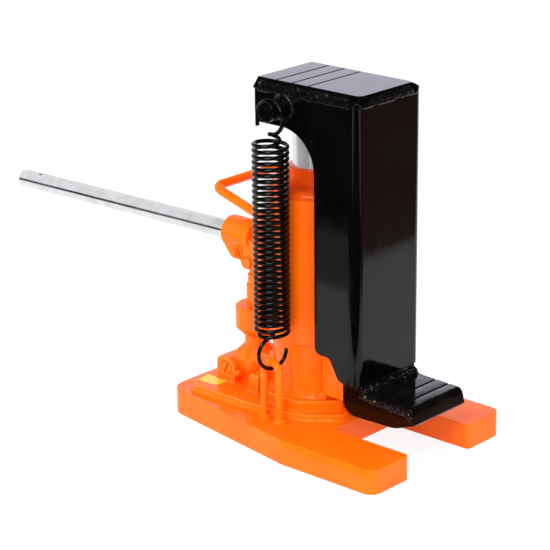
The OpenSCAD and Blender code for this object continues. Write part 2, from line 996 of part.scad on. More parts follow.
// Lever: modelled level, then drooped about the fulcrum
module drooped() {
    translate([-fulcrum_x, 0, fulcrum_z])
        rotate([0, -handle_droop, 0])
            translate([fulcrum_x, 0, -fulcrum_z])
                children();
}

module lever_cheeks() {
    outline = rounded([
        [-fulcrum_x + cheek_nose, fulcrum_z - cheek_nose_r, cheek_nose_r],
        [-fulcrum_x + cheek_nose, fulcrum_z + cheek_nose, cheek_nose_r],
        [-socket_front_x, handle_axis_z, 0],
        [-socket_back_x + cheek_end, handle_axis_z, 0],
        [-socket_back_x + cheek_end, handle_axis_z - socket_r + socket_back_r, cheek_end],
        [-bolt_x - cheek_bolt, bolt_z - cheek_bolt, cheek_r],
        [-pump_x - cheek_notch, bolt_z - cheek_bolt, cheek_notch_r],
        [-pump_x - cheek_heel, fulcrum_z - cheek_low, cheek_heel_r]
    ]);
    across(2 * cheek_out)
        polygon(outline);
}

module socket_tube() {
    profile = rounded([
        [0, 0, 0],
        [socket_r - socket_front_step, 0, socket_front_r],
        [socket_r, socket_taper_len, socket_taper_r],
        [socket_r, socket_len, socket_back_r],
        [0, socket_len, 0]
    ]);
    translate([-socket_front_x, 0, handle_axis_z])
        rotate([0, -90, 0])
            rotate_extrude()
                polygon(profile);
}

// The pin's slot lets the plunger rise straight while the lever swings
pin_travel = 3.6;
pin_play = 0.6;
eye_play = 1.4;
gap_back_x = pump_x + eye_r + pin_travel + eye_play;

module pin_slot() {
    for (shift = [-pin_travel, 0])
        translate([-pump_x + shift, 0, fulcrum_z])
            rod_y(pin_r + pin_play, -cheek_out - over, cheek_out + over);
    translate([-pump_x - pin_travel, -cheek_out - over, fulcrum_z - pin_r - pin_play])
        cube([pin_travel, 2 * (cheek_out + over), 2 * (pin_r + pin_play)]);
}

module lever_socket() {
    roof_z = fulcrum_z + lug_r + 2 * soft_gap;
    color(orange)
        difference() {
            drooped()
                difference() {
                    union() {
                        socket_tube();
                        lever_cheeks();
                    }
                    translate([-bore_end_x, 0, handle_axis_z])
                        rotate([0, -90, 0])
                            cylinder(r = handle_r + fit, h = socket_len);
                    translate([-gap_back_x, -cheek_in, 0])
                        cube([gap_back_x, 2 * cheek_in, roof_z]);
                    translate([-socket_back_x - over, -slit_w / 2, 0])
                        cube([socket_back_x - gap_back_x + 2 * over, slit_w, handle_axis_z]);
                    translate([-fulcrum_x, 0, fulcrum_z])
                        rod_y(pin_r + fit, -cheek_out - over, cheek_out + over);
                    translate([-bolt_x, 0, bolt_z])
                        rod_y(bolt_r, -cheek_out - over, cheek_out + over);
                }
            pin_slot();
        }
}

module pinch_bolt() {
    color(orange)
        drooped()
            translate([-bolt_x, 0, bolt_z]) {
                rod_y(bolt_r, -cheek_out - nut_h - nut_proud, cheek_out + bolt_tail);
                translate([0, cheek_out + bolt_head_h, 0])
                    rotate([90, 0, 0])
                        cylinder(r = bolt_hex_r, h = bolt_head_h, $fn = 6);
            }
}

module pinch_nut() {
    color(orange)
        drooped()
            translate([-bolt_x, 0, bolt_z])
                difference() {
                    translate([0, -cheek_out, 0])
                        rotate([90, 0, 0])
                            cylinder(r = bolt_hex_r, h = nut_h, $fn = 6);
                    rod_y(bolt_r, -cheek_out - nut_h - over, -cheek_out + over);
                }
}

module handle_tube() {
    hole_from_end = 33;
    hole_r = 3;
    color(zinc)
        drooped()
            difference() {
                translate([-bore_end_x - soft_gap, 0, handle_axis_z])
                    rotate([0, -90, 0])
                        difference() {
                            cylinder(r = handle_r, h = handle_len);
                            translate([0, 0, -over])
                                cylinder(r = handle_r - handle_wall, h = handle_len + 2 * over);
                        }
                translate([-handle_end_x + hole_from_end, 0, handle_axis_z - 2 * handle_r])
                    cylinder(r = hole_r, h = 4 * handle_r);
            }
}

// Release valve
release_slot_tilt = 28;
release_slot_w = 2.2;
release_slot_d = 2;
packing_y = -valve_face_y + 8;
packing_t = 4;

module release_screw() {
    tip_y = -valve_face_y + release_len + release_tip;
    color(orange)
        translate([-valve_x, 0, valve_z])
            difference() {
                union() {
                    rod_y(release_r, -valve_face_y, -valve_face_y + release_len - fit);
                    rod_y(release_ball_r - soft_gap, -valve_face_y + over, tip_y);
                }
                translate([0, -valve_face_y, 0])
                    rotate([0, release_slot_tilt, 0])
                        cube([release_slot_w, 2 * release_slot_d, 3 * release_r], center = true);
                packing_ring(release_r + over);
            }
}

module packing_ring(r_out) {
    difference() {
        rod_y(r_out, packing_y, packing_y + packing_t);
        rod_y(release_r - packing_t / 2, packing_y - over, packing_y + packing_t + over);
    }
}

module release_packing() {
    color(rubber)
        translate([-valve_x, 0, valve_z])
            packing_ring(release_r);
}

// Lifting frame
module frame_channel() {
    outer = rounded(mirrored([[front_x, frame_w / 2, bend_r], [-frame_back_x, frame_w / 2, 0]]));
    inner = rounded(mirrored([[front_in_x, side_in_y, front_in_r], [-frame_back_x - over, side_in_y, 0]]));
    side = rounded([
        [-frame_back_x, head_under, 0],
        [-frame_back_x, ear_z, side_r],
        [side_back_x, ear_z, window_r],
        [side_back_x, side_foot_z, side_r],
        [foot_step_x, side_foot_z, foot_step_r],
        [foot_end_x, front_foot_z + foot_end_rise, foot_step_r],
        [foot_heel_x, front_foot_z, 0],
        [front_x + over, front_foot_z, 0],
        [front_x + over, head_under, 0]
    ]);
    color(black)
        intersection() {
            linear_extrude(head_top)
                difference() {
                    polygon(outer);
                    polygon(inner);
                }
            across(2 * frame_w)
                polygon(side);
        }
}

// The head's sides, sloped where the weld fills the corner
module head_slopes() {
    half = frame_w / 2;
    flat_half = half - head_side_slope;
    translate([-head_back_x, 0, 0])
        rotate([90, 0, 90])
            linear_extrude(head_back_x + front_x)
                polygon([
                    [-half, head_under],
                    [half, head_under],
                    [half, head_under + head_rim],
                    [flat_half, head_top],
                    [-flat_half, head_top],
                    [-half, head_under + head_rim]
                ]);
}

module head_plate() {
    plan = rounded(mirrored([[front_x, frame_w / 2, bend_r], [-head_back_x, frame_w / 2, head_back_r]]));
    front_slope = [
        [-head_back_x, head_under],
        [-head_back_x, head_top],
        [front_x - head_front_slope, head_top],
        [front_x, head_under + head_rim],
        [front_x, head_under]
    ];
    color(black)
        difference() {
            intersection() {
                translate([0, 0, head_under])
                    linear_extrude(head_t)
                        polygon(plan);
                across(frame_w)
                    polygon(front_slope);
                head_slopes();
            }
            for (i = [0:2])
                translate([head_groove_x + i * head_groove_step, -frame_w, head_top - groove_d])
                    cube([groove_w, 2 * frame_w, groove_d + over]);
        }
}

module toe() {
    profile = rounded([
        [toe_back_x, front_foot_z, 0],
        [toe_back_x, frame_z, toe_heel_r],
        [toe_slope_x, frame_z, toe_slope_r],
        [toe_tip_x, frame_z + toe_nose_h, toe_nose_r],
        [toe_tip_x - toe_lip, toe_top, toe_lip_r],
        [front_x, toe_top, toe_root_r],
        [front_x, front_foot_z, 0]
    ]);
    color(black)
        difference() {
            intersection() {
                across(toe_w)
                    polygon(profile);
                linear_extrude(front_foot_z)
                    polygon([
                        [toe_back_x, -toe_w / 2],
                        [front_x, -toe_w / 2],
                        [toe_tip_x, -toe_tip_w / 2],
                        [toe_tip_x, toe_tip_w / 2],
                        [front_x, toe_w / 2],
                        [toe_back_x, toe_w / 2]
                    ]);
            }
            translate([toe_back_x - over, -side_in_y, frame_z - over])
                cube([front_in_x - toe_back_x + over, 2 * side_in_y, front_foot_h + 2 * over]);
            for (i = [0:1])
                translate([toe_groove_x + i * toe_groove_step, -toe_w, toe_top - groove_d])
                    cube([groove_w, 2 * toe_w, groove_d + over]);
        }
}

module peg(side) {
    y0 = side < 0 ? -peg_end_y : frame_w / 2;
    y1 = side < 0 ? -frame_w / 2 : peg_end_y;
    groove_y = side * spring_y - peg_groove_w / 2;
    color(black)
        translate([peg_x, 0, peg_z])
            difference() {
                rod_y(peg_r, y0, y1);
                difference() {
                    rod_y(peg_r + over, groove_y, groove_y + peg_groove_w);
                    rod_y(peg_groove_r, groove_y - over, groove_y + peg_groove_w + over);
                }
            }
}

module spring_pin_left() {
    peg(-1);
}

module spring_pin_right() {
    peg(1);
}

module ram() {
    color(chrome)
        translate([0, 0, piston_z + piston_h])
            cylinder(r = ram_r, h = head_under - piston_z - piston_h);
}

module ram_seat() {
    color(black)
        ring(seat_r, ram_r, head_under - seat_h, head_under);
}

module seal_ring(r_out) {
    ring(r_out, cylinder_bore_r - piston_seal_w, piston_seal_z, piston_seal_z + piston_seal_h);
}

module piston() {
    color(steel)
        difference() {
            translate([0, 0, piston_z])
                cylinder(r = cylinder_bore_r - fit, h = piston_h);
            seal_ring(cylinder_bore_r + over);
        }
}

module piston_seal() {
    color(rubber)
        seal_ring(cylinder_bore_r - fit);
}

base_plate();
body_casting();
reservoir_tube();
pressure_cylinder();
cylinder_gasket();
top_cap();
cap_seal();
ram_wiper();
guide_block();
carry_handle();
spring_anchor_left();
spring_anchor_right();
return_spring_left();
return_spring_right();
pump_barrel();
pump_packing();
fulcrum_pin();
inlet_ball();
outlet_ball();
outlet_spring();
release_ball();
valve_plugs();
filler_plug();
frame_channel();
head_plate();
toe();
spring_pin_left();
spring_pin_right();
ram();
ram_seat();
piston();
piston_seal();
pump_plunger();
plunger_pin();
lever_socket();
pinch_bolt();
pinch_nut();
handle_tube();
release_screw();
release_packing();
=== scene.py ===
"""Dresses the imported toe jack: eased edges, cast skin, weld beads, wound springs, paint and stage."""

import json
import math

import bmesh
import bpy
from bpy.props import FloatProperty, FloatVectorProperty, IntProperty, PointerProperty
from mathutils import Matrix, Vector, noise

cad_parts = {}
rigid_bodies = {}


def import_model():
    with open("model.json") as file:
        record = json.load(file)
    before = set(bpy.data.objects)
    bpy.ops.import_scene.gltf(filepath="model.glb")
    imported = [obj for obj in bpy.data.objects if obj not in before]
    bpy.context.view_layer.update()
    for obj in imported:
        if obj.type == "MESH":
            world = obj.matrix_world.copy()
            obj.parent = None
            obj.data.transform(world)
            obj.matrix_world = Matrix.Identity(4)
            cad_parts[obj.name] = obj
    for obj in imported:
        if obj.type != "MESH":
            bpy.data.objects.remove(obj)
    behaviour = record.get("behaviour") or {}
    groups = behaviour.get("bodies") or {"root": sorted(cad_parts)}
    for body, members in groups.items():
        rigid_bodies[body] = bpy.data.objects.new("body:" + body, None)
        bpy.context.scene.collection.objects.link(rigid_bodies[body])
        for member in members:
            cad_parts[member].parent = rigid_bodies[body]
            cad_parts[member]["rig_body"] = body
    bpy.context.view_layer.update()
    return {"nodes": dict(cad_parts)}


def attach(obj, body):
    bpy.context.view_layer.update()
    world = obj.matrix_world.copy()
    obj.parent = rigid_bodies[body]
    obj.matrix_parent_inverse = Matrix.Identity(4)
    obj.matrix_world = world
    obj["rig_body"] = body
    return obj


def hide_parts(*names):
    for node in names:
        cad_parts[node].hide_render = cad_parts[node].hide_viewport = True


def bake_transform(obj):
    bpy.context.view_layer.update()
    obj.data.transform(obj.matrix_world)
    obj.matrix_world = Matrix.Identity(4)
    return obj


bl_info = {
    "name": "Toe Jack",
    "version": (1, 0, 0),
    "blender": (4, 5, 0),
    "location": "View3D > Sidebar > Toe Jack",
    "description": "Eased edges, cast skin, weld beads, wound springs, paint and stage of a toe jack",
    "category": "Object",
}

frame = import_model()

MM = 0.001
MERGE = 0.002 * MM
FLAT_ANGLE = math.radians(0.6)
HARD_ANGLE = math.radians(28)
SHARP_ANGLE = math.radians(38)
ROUND_STEPS = 96

SIDES = ((-1, "left"), (1, "right"))

# Places and sizes in the frame, in millimetres, as in the part's source. First the cast body
PAD_LOW, PAD_TOP, FLANGE_TOP, RING_TOP, BOSS_TOP = 30, 38, 52, 60, 118
PAD_OUTLINE = ((67, 32, 8), (35.4, 59, 12), (0, 70, 12), (-54, 75, 12), (-128, 75, 12), (-146, 52, 12))
FLANGE_SIDES, FLANGE_TURN = 8, math.radians(22.5)
FLANGE_R = 59 / math.cos(FLANGE_TURN)
RING_FOOT_R, BOSS_R, CYLINDER_R = 55, 50.7, 36
PUMP_X, FOOT_R, FOOT_TOP, CONE_R, CONE_TOP = -94, 28.3, 67, 16, 79
WEB_X, WEB_HALF, WEB_TOP = -40, 15, 75
RIB_SIZE, RIB_PLACE, RIB_LEAN = (18, 20, 24), (-61, -36, 48), 5.4
VALVE_X, VALVE_Z, VALVE_FACE_Y, VALVE_HOLE_R, VALVE_HOLE_DEPTH = -108.6, 55.1, -40, 9, 12
VALVE_OUTLINE = ((-123.8, 36, 0.5), (-123.8, 67.1, 4), (-95.4, 67.1, 12), (-95.4, 36, 0.5))
LABEL_CORNERS = ((-137.6, -59.8), (-140.6, -38.6), (-106, -40.8), (-108.4, -59))
GUIDE_WELD_X, GUIDE_WELD_Y = 43, 38
# How far lumps sink into each other, and how far drills start outside
SINK, DRILL_OVER, BORE_OVER = 2, 4, 10

# Lifting frame
HEAD_TOP, HEAD_RIM, HEAD_UNDER = 425.5, 415.9, 414.9
HEAD_FLAT_HALF, HEAD_FLAT_X, HEAD_BACK_X, HEAD_CORNER, HEAD_LEAN = 46, 105.2, -45, 11, 2.6
FRAME_HALF_W, FRAME_FRONT_X, FRONT_FOOT_Z = 57.8, 110.2, 90
TOE_TOP, TOE_HALF_W, TOE_TIP_HALF, TOE_TIP_X, CHEEK_BACK_X = 79.5, 48, 45, 186.4, 86
PEG_X, PEG_Z, PEG_R, PEG_WELD_STEPS = 4, 399.9, 11.5, 40
SIDE_FACING = 0.8

# Springs and staples, with sweeps in degrees
SPRING_X, SPRING_Y = 3.6, 80
STAPLE_X, STAPLE_HALF = 2, 11.8
LOOP_Z, COIL_TOP, COIL_BOTTOM, EYE_Z, COIL_R = 392.3, 363.2, 138.7, 114, 19.1
HOOK_LEG, HOOK_STEPS, HOOK_SWEEP = 12, 56, 270
EYE_SWEEP, EYE_TWIST, EYE_HEADING = 272, 193, math.radians(77)

# Lever
FULCRUM_X, FULCRUM_Z = -70, 185
HANDLE_Z, HANDLE_DROOP = 214.6, math.radians(0.76)
SOCKET_FRONT_X, SOCKET_BACK_X, SOCKET_R = -92, -134.7, 19.5
SEAM_ENDS, SEAM_R = (SOCKET_BACK_X + 5, SOCKET_FRONT_X - 9), 0.8
BOLT_X, BOLT_Z, CHEEK_OUT = -110.5, 195.6, 15
BOLT_BOSS = ((3.2, -1.4), (7.6, -1.4), (8.4, -0.6), (8.8, 1), (3.2, 1))

# Stage, in metres and watts. A lamp: name, place, aim, size, power, colour, shown in reflections
MIDDLE, WHITE, CLOTH_BLACK = (0, 0, 0.2), (1, 1, 1), (0.01, 0.01, 0.01)
LAMPS = (
    ("front_box", (0.9, -2.3, 1.9), MIDDLE, (1.4, 1.0), 42, WHITE, True),
    ("left_box", (-1.2, -2.1, 0.8), MIDDLE, (1.4, 1.2), 26, WHITE, False),
    ("right_box", (2.4, -0.5, 0.9), MIDDLE, (1.4, 1.2), 26, WHITE, False),
    ("top_box", (0.1, -0.3, 2.6), MIDDLE, (1.6, 1.6), 14, WHITE, True),
    ("rear_box", (-2.69, 2.96, 1.26), (0, 0, 1.26), (5, 0.98), 28, (0.88, 0.85, 1.0), True),
)
# A card that lies on the floor: name, colour, corners
CARDS = (
    ("left_card", CLOTH_BLACK, ((-6, -0.7), (0.3, -0.7), (0.3, -6), (-6, -6))),
    ("right_card", (0.2, 0.11, 0.09), ((0.57, 0.15), (6, 0.15), (6, 6), (0.57, 6))),
    ("near_card", CLOTH_BLACK, ((-0.1, -0.66), (0.88, 0.24), (6, -4.5), (5, -5.5))),
    # The orange-red card is a painted reflection, seen dark red in the toe's near side.
    ("toe_side_reflection_card", (0.3, 0.05, 0.02), ((-0.05, -0.15), (0.3, -0.15), (0.3, -0.26), (-0.05, -0.26))),
    ("edge_card", (0.26, 0.26, 0.28), ((-6, -0.5), (0.3, -0.5), (0.3, -0.7), (-6, -0.7))),
)
CARD_Z = 0.002
ROOM_COLOUR, ROOM_REACH, ROOM_HEIGHT = (0.05, 0.05, 0.05), 6, 4.5
ARCH = ((-0.62, 0.285), (-0.56, 0.42), (-0.3, 0.56), (0, 0.61), (0.25, 0.56), (0.4, 0.42), (0.44, 0.25))
ARCH_START, ARCH_END, ARCH_LEVEL = -0.46, -1.5, 0.95
FLOOR_REACH, FLOOR_GLOW, FLOOR_SHADOW = 40, 0.84, (0.18, 0.18, 0.18)
SKY_LEVEL, SEEN_LEVEL = 0.8, 1.0
CAMERA_PLACE, CAMERA_LENS, CAMERA_SENSOR, CAMERA_REACH = (1.56319, -1.78597, 1.0009), 141.06, 36, 100
AZIMUTH, ELEVATION, ROLL = math.radians(42.34), math.radians(18.93), math.radians(-0.61)


class JackSizes(bpy.types.PropertyGroup):
    """Sizes of the dressing that a user would change."""

    plate_edge: FloatProperty(
        name="Plate edge",
        description="Rounding of the cut plates' edges",
        default=0.9 * MM,
        unit="LENGTH",
    )
    cast_edge: FloatProperty(
        name="Cast edge",
        description="Rounding of the cast and turned edges",
        default=1.3 * MM,
        unit="LENGTH",
    )
    pin_edge: FloatProperty(
        name="Pin edge", description="Chamfer of pins, bolts and plugs", default=0.6 * MM, unit="LENGTH"
    )
    cast_grain: FloatProperty(
        name="Cast grain", description="Finest detail of the cast skin", default=1.25 * MM, unit="LENGTH"
    )
    spring_wire: FloatProperty(
        name="Spring wire",
        description="Diameter of the return springs' wire",
        default=4.8 * MM,
        unit="LENGTH",
    )
    spring_turns: IntProperty(name="Spring turns", description="Curls of one return spring", default=33)
    bead: FloatProperty(
        name="Weld bead",
        description="Radius of the lifting frame's weld beads",
        default=3.2 * MM,
        unit="LENGTH",
    )
    label: FloatProperty(
        name="Label thickness",
        description="Thickness of the blank label",
        default=0.3 * MM,
        unit="LENGTH",
    )


class JackColours(bpy.types.PropertyGroup):
    """Colours of the finishes, linear."""

    orange: FloatVectorProperty(
        name="Orange enamel",
        description="Hydraulic unit and base",
        default=(0.97, 0.137, 0.002),
        subtype="COLOR",
    )
    black: FloatVectorProperty(
        name="Black enamel",
        description="Lifting frame",
        default=(0.0011, 0.0011, 0.0012),
        subtype="COLOR",
    )
    spring: FloatVectorProperty(
        name="Spring black",
        description="Return springs",
        default=(0.0011, 0.001, 0.001),
        subtype="COLOR",
    )
    chrome: FloatVectorProperty(
        name="Chrome", description="Ram", default=(0.8, 0.8, 0.83), subtype="COLOR"
    )
    zinc: FloatVectorProperty(
        name="Bright zinc", description="Handle tube", default=(0.76, 0.77, 0.79), subtype="COLOR"
    )
    steel: FloatVectorProperty(
        name="Machined steel", description="Inner steel parts", default=(0.5, 0.5, 0.52), subtype="COLOR"
    )
    copper: FloatVectorProperty(
        name="Soft copper", description="Gasket", default=(0.72, 0.4, 0.2), subtype="COLOR"
    )
    rubber: FloatVectorProperty(
        name="Seal rubber", description="Seals and plug", default=(0.02, 0.02, 0.02), subtype="COLOR"
    )
    label: FloatVectorProperty(
        name="Blank label",
        description="Plain yellow label",
        default=(0.97, 0.53, 0.022),
        subtype="COLOR",
    )
    floor: FloatVectorProperty(
        name="Floor", description="Pale floor", default=(0.9, 0.9, 0.9), subtype="COLOR"
    )


def mm(*values):
    """A point given in millimetres."""
    return Vector(values) * MM


def rounded(corners, steps=8):
    """Points of a closed outline whose corners (x, y, radius) are rounded."""
    points = []
    count = len(corners)
    for i, (x, y, radius) in enumerate(corners):
        here = Vector((x, y))
        back = (Vector(corners[i - 1][:2]) - here).normalized()
        ahead = (Vector(corners[(i + 1) % count][:2]) - here).normalized()
        half = back.angle(ahead) / 2
        centre = here + (back + ahead).normalized() * radius / math.sin(half)
        start = here + back * radius / math.tan(half) - centre
        end = here + ahead * radius / math.tan(half) - centre
        turn = start.angle_signed(end)
        for k in range(steps + 1):
            spoke = start.copy()
            spoke.rotate(Matrix.Rotation(-turn * k / steps, 2))
            points.append(centre + spoke)
    return points


def mirrored(half):
    """A whole outline from its half, mirrored in the middle plane."""
    return list(half) + [(x, -y, r) for x, y, r in reversed(half)]


# Finishes


def empty_tree(owner):
    """The node tree of a new material or world, with nothing in it."""
    owner.use_nodes = True
    owner.node_tree.nodes.clear()
    return owner.node_tree


def material_with(name):
    """A new material with its tree and its surface shader."""
    made = bpy.data.materials.new(name)
    tree = empty_tree(made)
    surface = tree.nodes.new("ShaderNodeBsdfPrincipled")
    out = tree.nodes.new("ShaderNodeOutputMaterial")
    tree.links.new(surface.outputs["BSDF"], out.inputs["Surface"])
    return made, tree, surface


def where_seen(tree):
    """One for what is seen, straight or in a reflection, and none for bounced light."""
    path = tree.nodes.new("ShaderNodeLightPath")
    seen = path.outputs["Is Camera Ray"]
    for kind in ("Is Glossy Ray", "Is Transmission Ray"):
        either = tree.nodes.new("ShaderNodeMath")
        either.operation = "MAXIMUM"
        tree.links.new(seen, either.inputs[0])
        tree.links.new(path.outputs[kind], either.inputs[1])
        seen = either.outputs[0]
    return seen


def grain(tree, scale, detail, stretch=(1, 1, 1)):
    """A noise pattern on the piece itself, in its own metres."""
    place = tree.nodes.new("ShaderNodeTexCoord")
    mapping = tree.nodes.new("ShaderNodeMapping")
    mapping.inputs["Scale"].default_value = stretch
    pattern = tree.nodes.new("ShaderNodeTexNoise")
    pattern.inputs["Scale"].default_value = scale
    pattern.inputs["Detail"].default_value = detail
    tree.links.new(place.outputs["Object"], mapping.inputs["Vector"])
    tree.links.new(mapping.outputs["Vector"], pattern.inputs["Vector"])
    return pattern.outputs["Fac"]


def spread(tree, source, low, high, start=0.3, end=0.7):
    """A pattern spread between two numbers."""
    node = tree.nodes.new("ShaderNodeMapRange")
    node.inputs["From Min"].default_value = start
    node.inputs["From Max"].default_value = end
    node.inputs["To Min"].default_value = low
    node.inputs["To Max"].default_value = high
    tree.links.new(source, node.inputs["Value"])
    return node.outputs["Result"]


def tinted(tree, source, stops):
    """A pattern turned into colours by (place, colour) stops."""
    node = tree.nodes.new("ShaderNodeValToRGB")
    ramp = node.color_ramp
    while len(ramp.elements) < len(stops):
        ramp.elements.new(1.0)
    for element, (place, colour) in zip(ramp.elements, stops):
        element.position = place
        element.color = (*colour, 1)
    tree.links.new(source, node.inputs["Fac"])
    return node.outputs["Color"]


def blended(tree, amount, one, other):
    """A colour pattern mixed with one plain colour."""
    node = tree.nodes.new("ShaderNodeMix")
    node.data_type = "RGBA"
    tree.links.new(amount, node.inputs["Factor"])
    tree.links.new(one, node.inputs[6])
    node.inputs[7].default_value = (*other, 1)
    return node.outputs[2]


def flecked(tree, body, pattern, amount, start, end, colour):
    """A colour with flecks of another where a grain peaks."""
    return blended(tree, spread(tree, grain(tree, *pattern), 0, amount, start, end), body, colour)


def bumped(tree, surface, heights):
    """Bumps in a row, each (pattern, distance in millimetres, strength)."""
    last = None
    for pattern, distance, strength in heights:
        node = tree.nodes.new("ShaderNodeBump")
        node.inputs["Distance"].default_value = distance * MM
        node.inputs["Strength"].default_value = strength
        tree.links.new(pattern, node.inputs["Height"])
        if last is not None:
            tree.links.new(last, node.inputs["Normal"])
        last = node.outputs["Normal"]
    tree.links.new(last, surface.inputs["Normal"])


def shade(colour, amount):
    """A colour made darker or lighter."""
    return tuple(min(1.0, c * amount) for c in colour)


def colour_of(name):
    """A colour from the panel."""
    return tuple(getattr(bpy.context.scene.jack_colours, name))


def coat(name, stops, drift, gloss, bumps, ior=1.5, flecks=None):
    """A finish with a drifting colour, uneven gloss and bumps, from grains of (scale, detail, stretch)."""
    made, tree, surface = material_with(name)
    body = tinted(tree, grain(tree, *drift), stops)
    if flecks:
        body = flecked(tree, body, *flecks)
    tree.links.new(body, surface.inputs["Base Color"])
    pattern, low, high = gloss
    tree.links.new(spread(tree, grain(tree, *pattern), low, high), surface.inputs["Roughness"])
    surface.inputs["IOR"].default_value = ior
    bumped(tree, surface, [(grain(tree, *pattern), *size) for pattern, *size in bumps])
    return made


def orange_enamel(name="orange_enamel", texture=0.0, edge_wear_and_highlight=0.0, painted_shade_tint=(1, 1, 1)):
    """Gloss orange paint with a faint orange peel, with painted shade that reddens it in its own corners,
    and paler sharp edges that are partly thin paint and partly a painted highlight.
    """
    # A tint below one darkens and reddens the whole paint as painted shade.
    colour = tuple(c * d for c, d in zip(colour_of("orange"), painted_shade_tint))
    made, tree, surface = material_with(name)
    drift = grain(tree, 16, 3)
    deep = (colour[0] * 0.94, colour[1] * 0.86, colour[2])
    pale = (min(1.0, colour[0] * 1.02), colour[1] * 1.08, colour[2])
    body = tinted(tree, drift, ((0.3, deep), (0.5, colour), (0.72, pale)))
    paint = flecked(tree, body, (1400, 1), 0.3, 0.76, 0.82, (1.0, 0.24, 0.03))
    # Painted shade: ambient occlusion within the piece darkens and reddens the paint in its corners and
    # recesses.
    corner = tree.nodes.new("ShaderNodeAmbientOcclusion")
    corner.samples = 8
    corner.only_local = True
    corner.inputs["Distance"].default_value = 30 * MM
    painted_corner_shade = spread(tree, corner.outputs["AO"], 0.9, 0, 0.2, 0.8)
    paint = blended(tree, painted_corner_shade, paint, (colour[0] * 0.8, colour[1] * 0.38, colour[2]))
    # Paler sharp edges, found by pointiness: partly thin paint, partly a painted highlight.
    if edge_wear_and_highlight:
        edge = tree.nodes.new("ShaderNodeNewGeometry")
        thin_paint_and_highlight_mask = spread(tree, edge.outputs["Pointiness"], 0, edge_wear_and_highlight, 0.51, 0.56)
        paint = blended(tree, thin_paint_and_highlight_mask, paint, (1.0, 0.3, 0.03))
    tree.links.new(paint, surface.inputs["Base Color"])
    tree.links.new(spread(tree, grain(tree, 70, 3), 0.1, 0.2), surface.inputs["Roughness"])
    surface.inputs["IOR"].default_value = 1.29
    heights = [(grain(tree, 620, 1), 0.05, 0.25), (grain(tree, 45, 2), 0.25, 0.12)]
    if texture:
        heights.append((grain(tree, 260, 3), 0.25, texture))
    bumped(tree, surface, heights)
    return made


def black_enamel():
    """Gloss black paint over plate that isn't quite flat, with a little dust in it."""
    colour = colour_of("black")
    stops = ((0.3, shade(colour, 0.6)), (0.7, shade(colour, 1.5)))
    bumps = (((20, 2, (1, 1, 0.25)), 0.6, 0.14), ((480, 1), 0.04, 0.18))
    dust = ((900, 1), 0.35, 0.78, 0.86, (0.05, 0.05, 0.055))
    return coat("black_enamel", stops, (24, 3), ((60, 3), 0.05, 0.11), bumps, 1.34, dust)


def weld_black(name="weld_black", chips_and_glints=None):
    """Black paint over a rough weld."""
    stops = ((0.35, shade(colour_of("black"), 0.8)), (0.7, (0.007, 0.0065, 0.006)))
    return coat(name, stops, (300, 3), ((300, 3), 0.05, 0.14), (((260, 2), 0.4, 0.3),), 1.36, chips_and_glints)


def weld_chipped_glinting():
    """A black weld with pale flecks on some of its peaks: partly bare metal where the paint is knocked
    off, partly painted glints.
    """
    return weld_black("weld_chipped_glinting", ((420, 2), 0.8, 0.66, 0.74, (0.4, 0.38, 0.32)))


def toe_black():
    """Black paint over ground plate, with grinding lines along the toe."""
    stops = ((0.3, shade(colour_of("black"), 0.7)), (0.7, (0.006, 0.0045, 0.0042)))
    bumps = (((700, 2, (1, 0.05, 1)), 0.02, 0.2), ((28, 2), 0.4, 0.1))
    return coat("toe_black", stops, (30, 3), ((80, 3), 0.06, 0.13), bumps)


def black_wire():
    """Satin black spring wire with a brownish cast."""
    stops = ((0.35, colour_of("spring")), (0.7, (0.0026, 0.0019, 0.0017)))
    bumps = (((1100, 2), 0.03, 0.12),)
    return coat("black_wire", stops, (90, 3), ((260, 2), 0.08, 0.14), bumps, 1.34)


def metal(name, colour, rough, scale, stretch, bump, bare=1.0):
    """Bare or plated metal with drawn or turned lines."""
    made, tree, surface = material_with(name)
    lines = grain(tree, scale, 3, stretch)
    body = tinted(tree, grain(tree, 60, 3), ((0.3, shade(colour, 0.86)), (0.7, shade(colour, 1.06))))
    tree.links.new(body, surface.inputs["Base Color"])
    tree.links.new(spread(tree, lines, *rough), surface.inputs["Roughness"])
    surface.inputs["Metallic"].default_value = bare
    bumped(tree, surface, [(lines, *bump)])
    return made


def chrome_plate():
    """Polished chrome with faint turned lines."""
    lines = (0.05, 0.05, 1)
    return metal("chrome_plate", colour_of("chrome"), (0.14, 0.24), 500, lines, (0.02, 0.1), 0.55)


def bright_zinc():
    """Zinc plate over drawn tube."""
    return metal("bright_zinc", colour_of("zinc"), (0.12, 0.26), 420, (0.04, 1, 1), (0.05, 0.25))


def machined_steel():
    """Turned bare steel."""
    return metal("machined_steel", colour_of("steel"), (0.2, 0.34), 600, (0.1, 0.1, 1), (0.05, 0.3))


def soft_copper():
    """Annealed copper sheet."""
    return metal("soft_copper", colour_of("copper"), (0.25, 0.45), 140, (1, 1, 1), (0.08, 0.3))


def seal_rubber():
    """Matt black rubber."""
    colour = colour_of("rubber")
    stops = ((0.3, shade(colour, 0.7)), (0.7, shade(colour, 1.6)))
    return coat("seal_rubber", stops, (200, 3), ((500, 2), 0.5, 0.7), (((800, 2), 0.08, 0.3),))


def blank_label():
    """Plain yellow film, a little uneven where it was rubbed down."""
    colour = colour_of("label")
    stops = ((0.3, shade(colour, 0.9)), (0.7, shade(colour, 1.08)))
    return coat("blank_label", stops, (120, 3), ((240, 2), 0.22, 0.4), (((160, 2), 0.12, 0.2),))


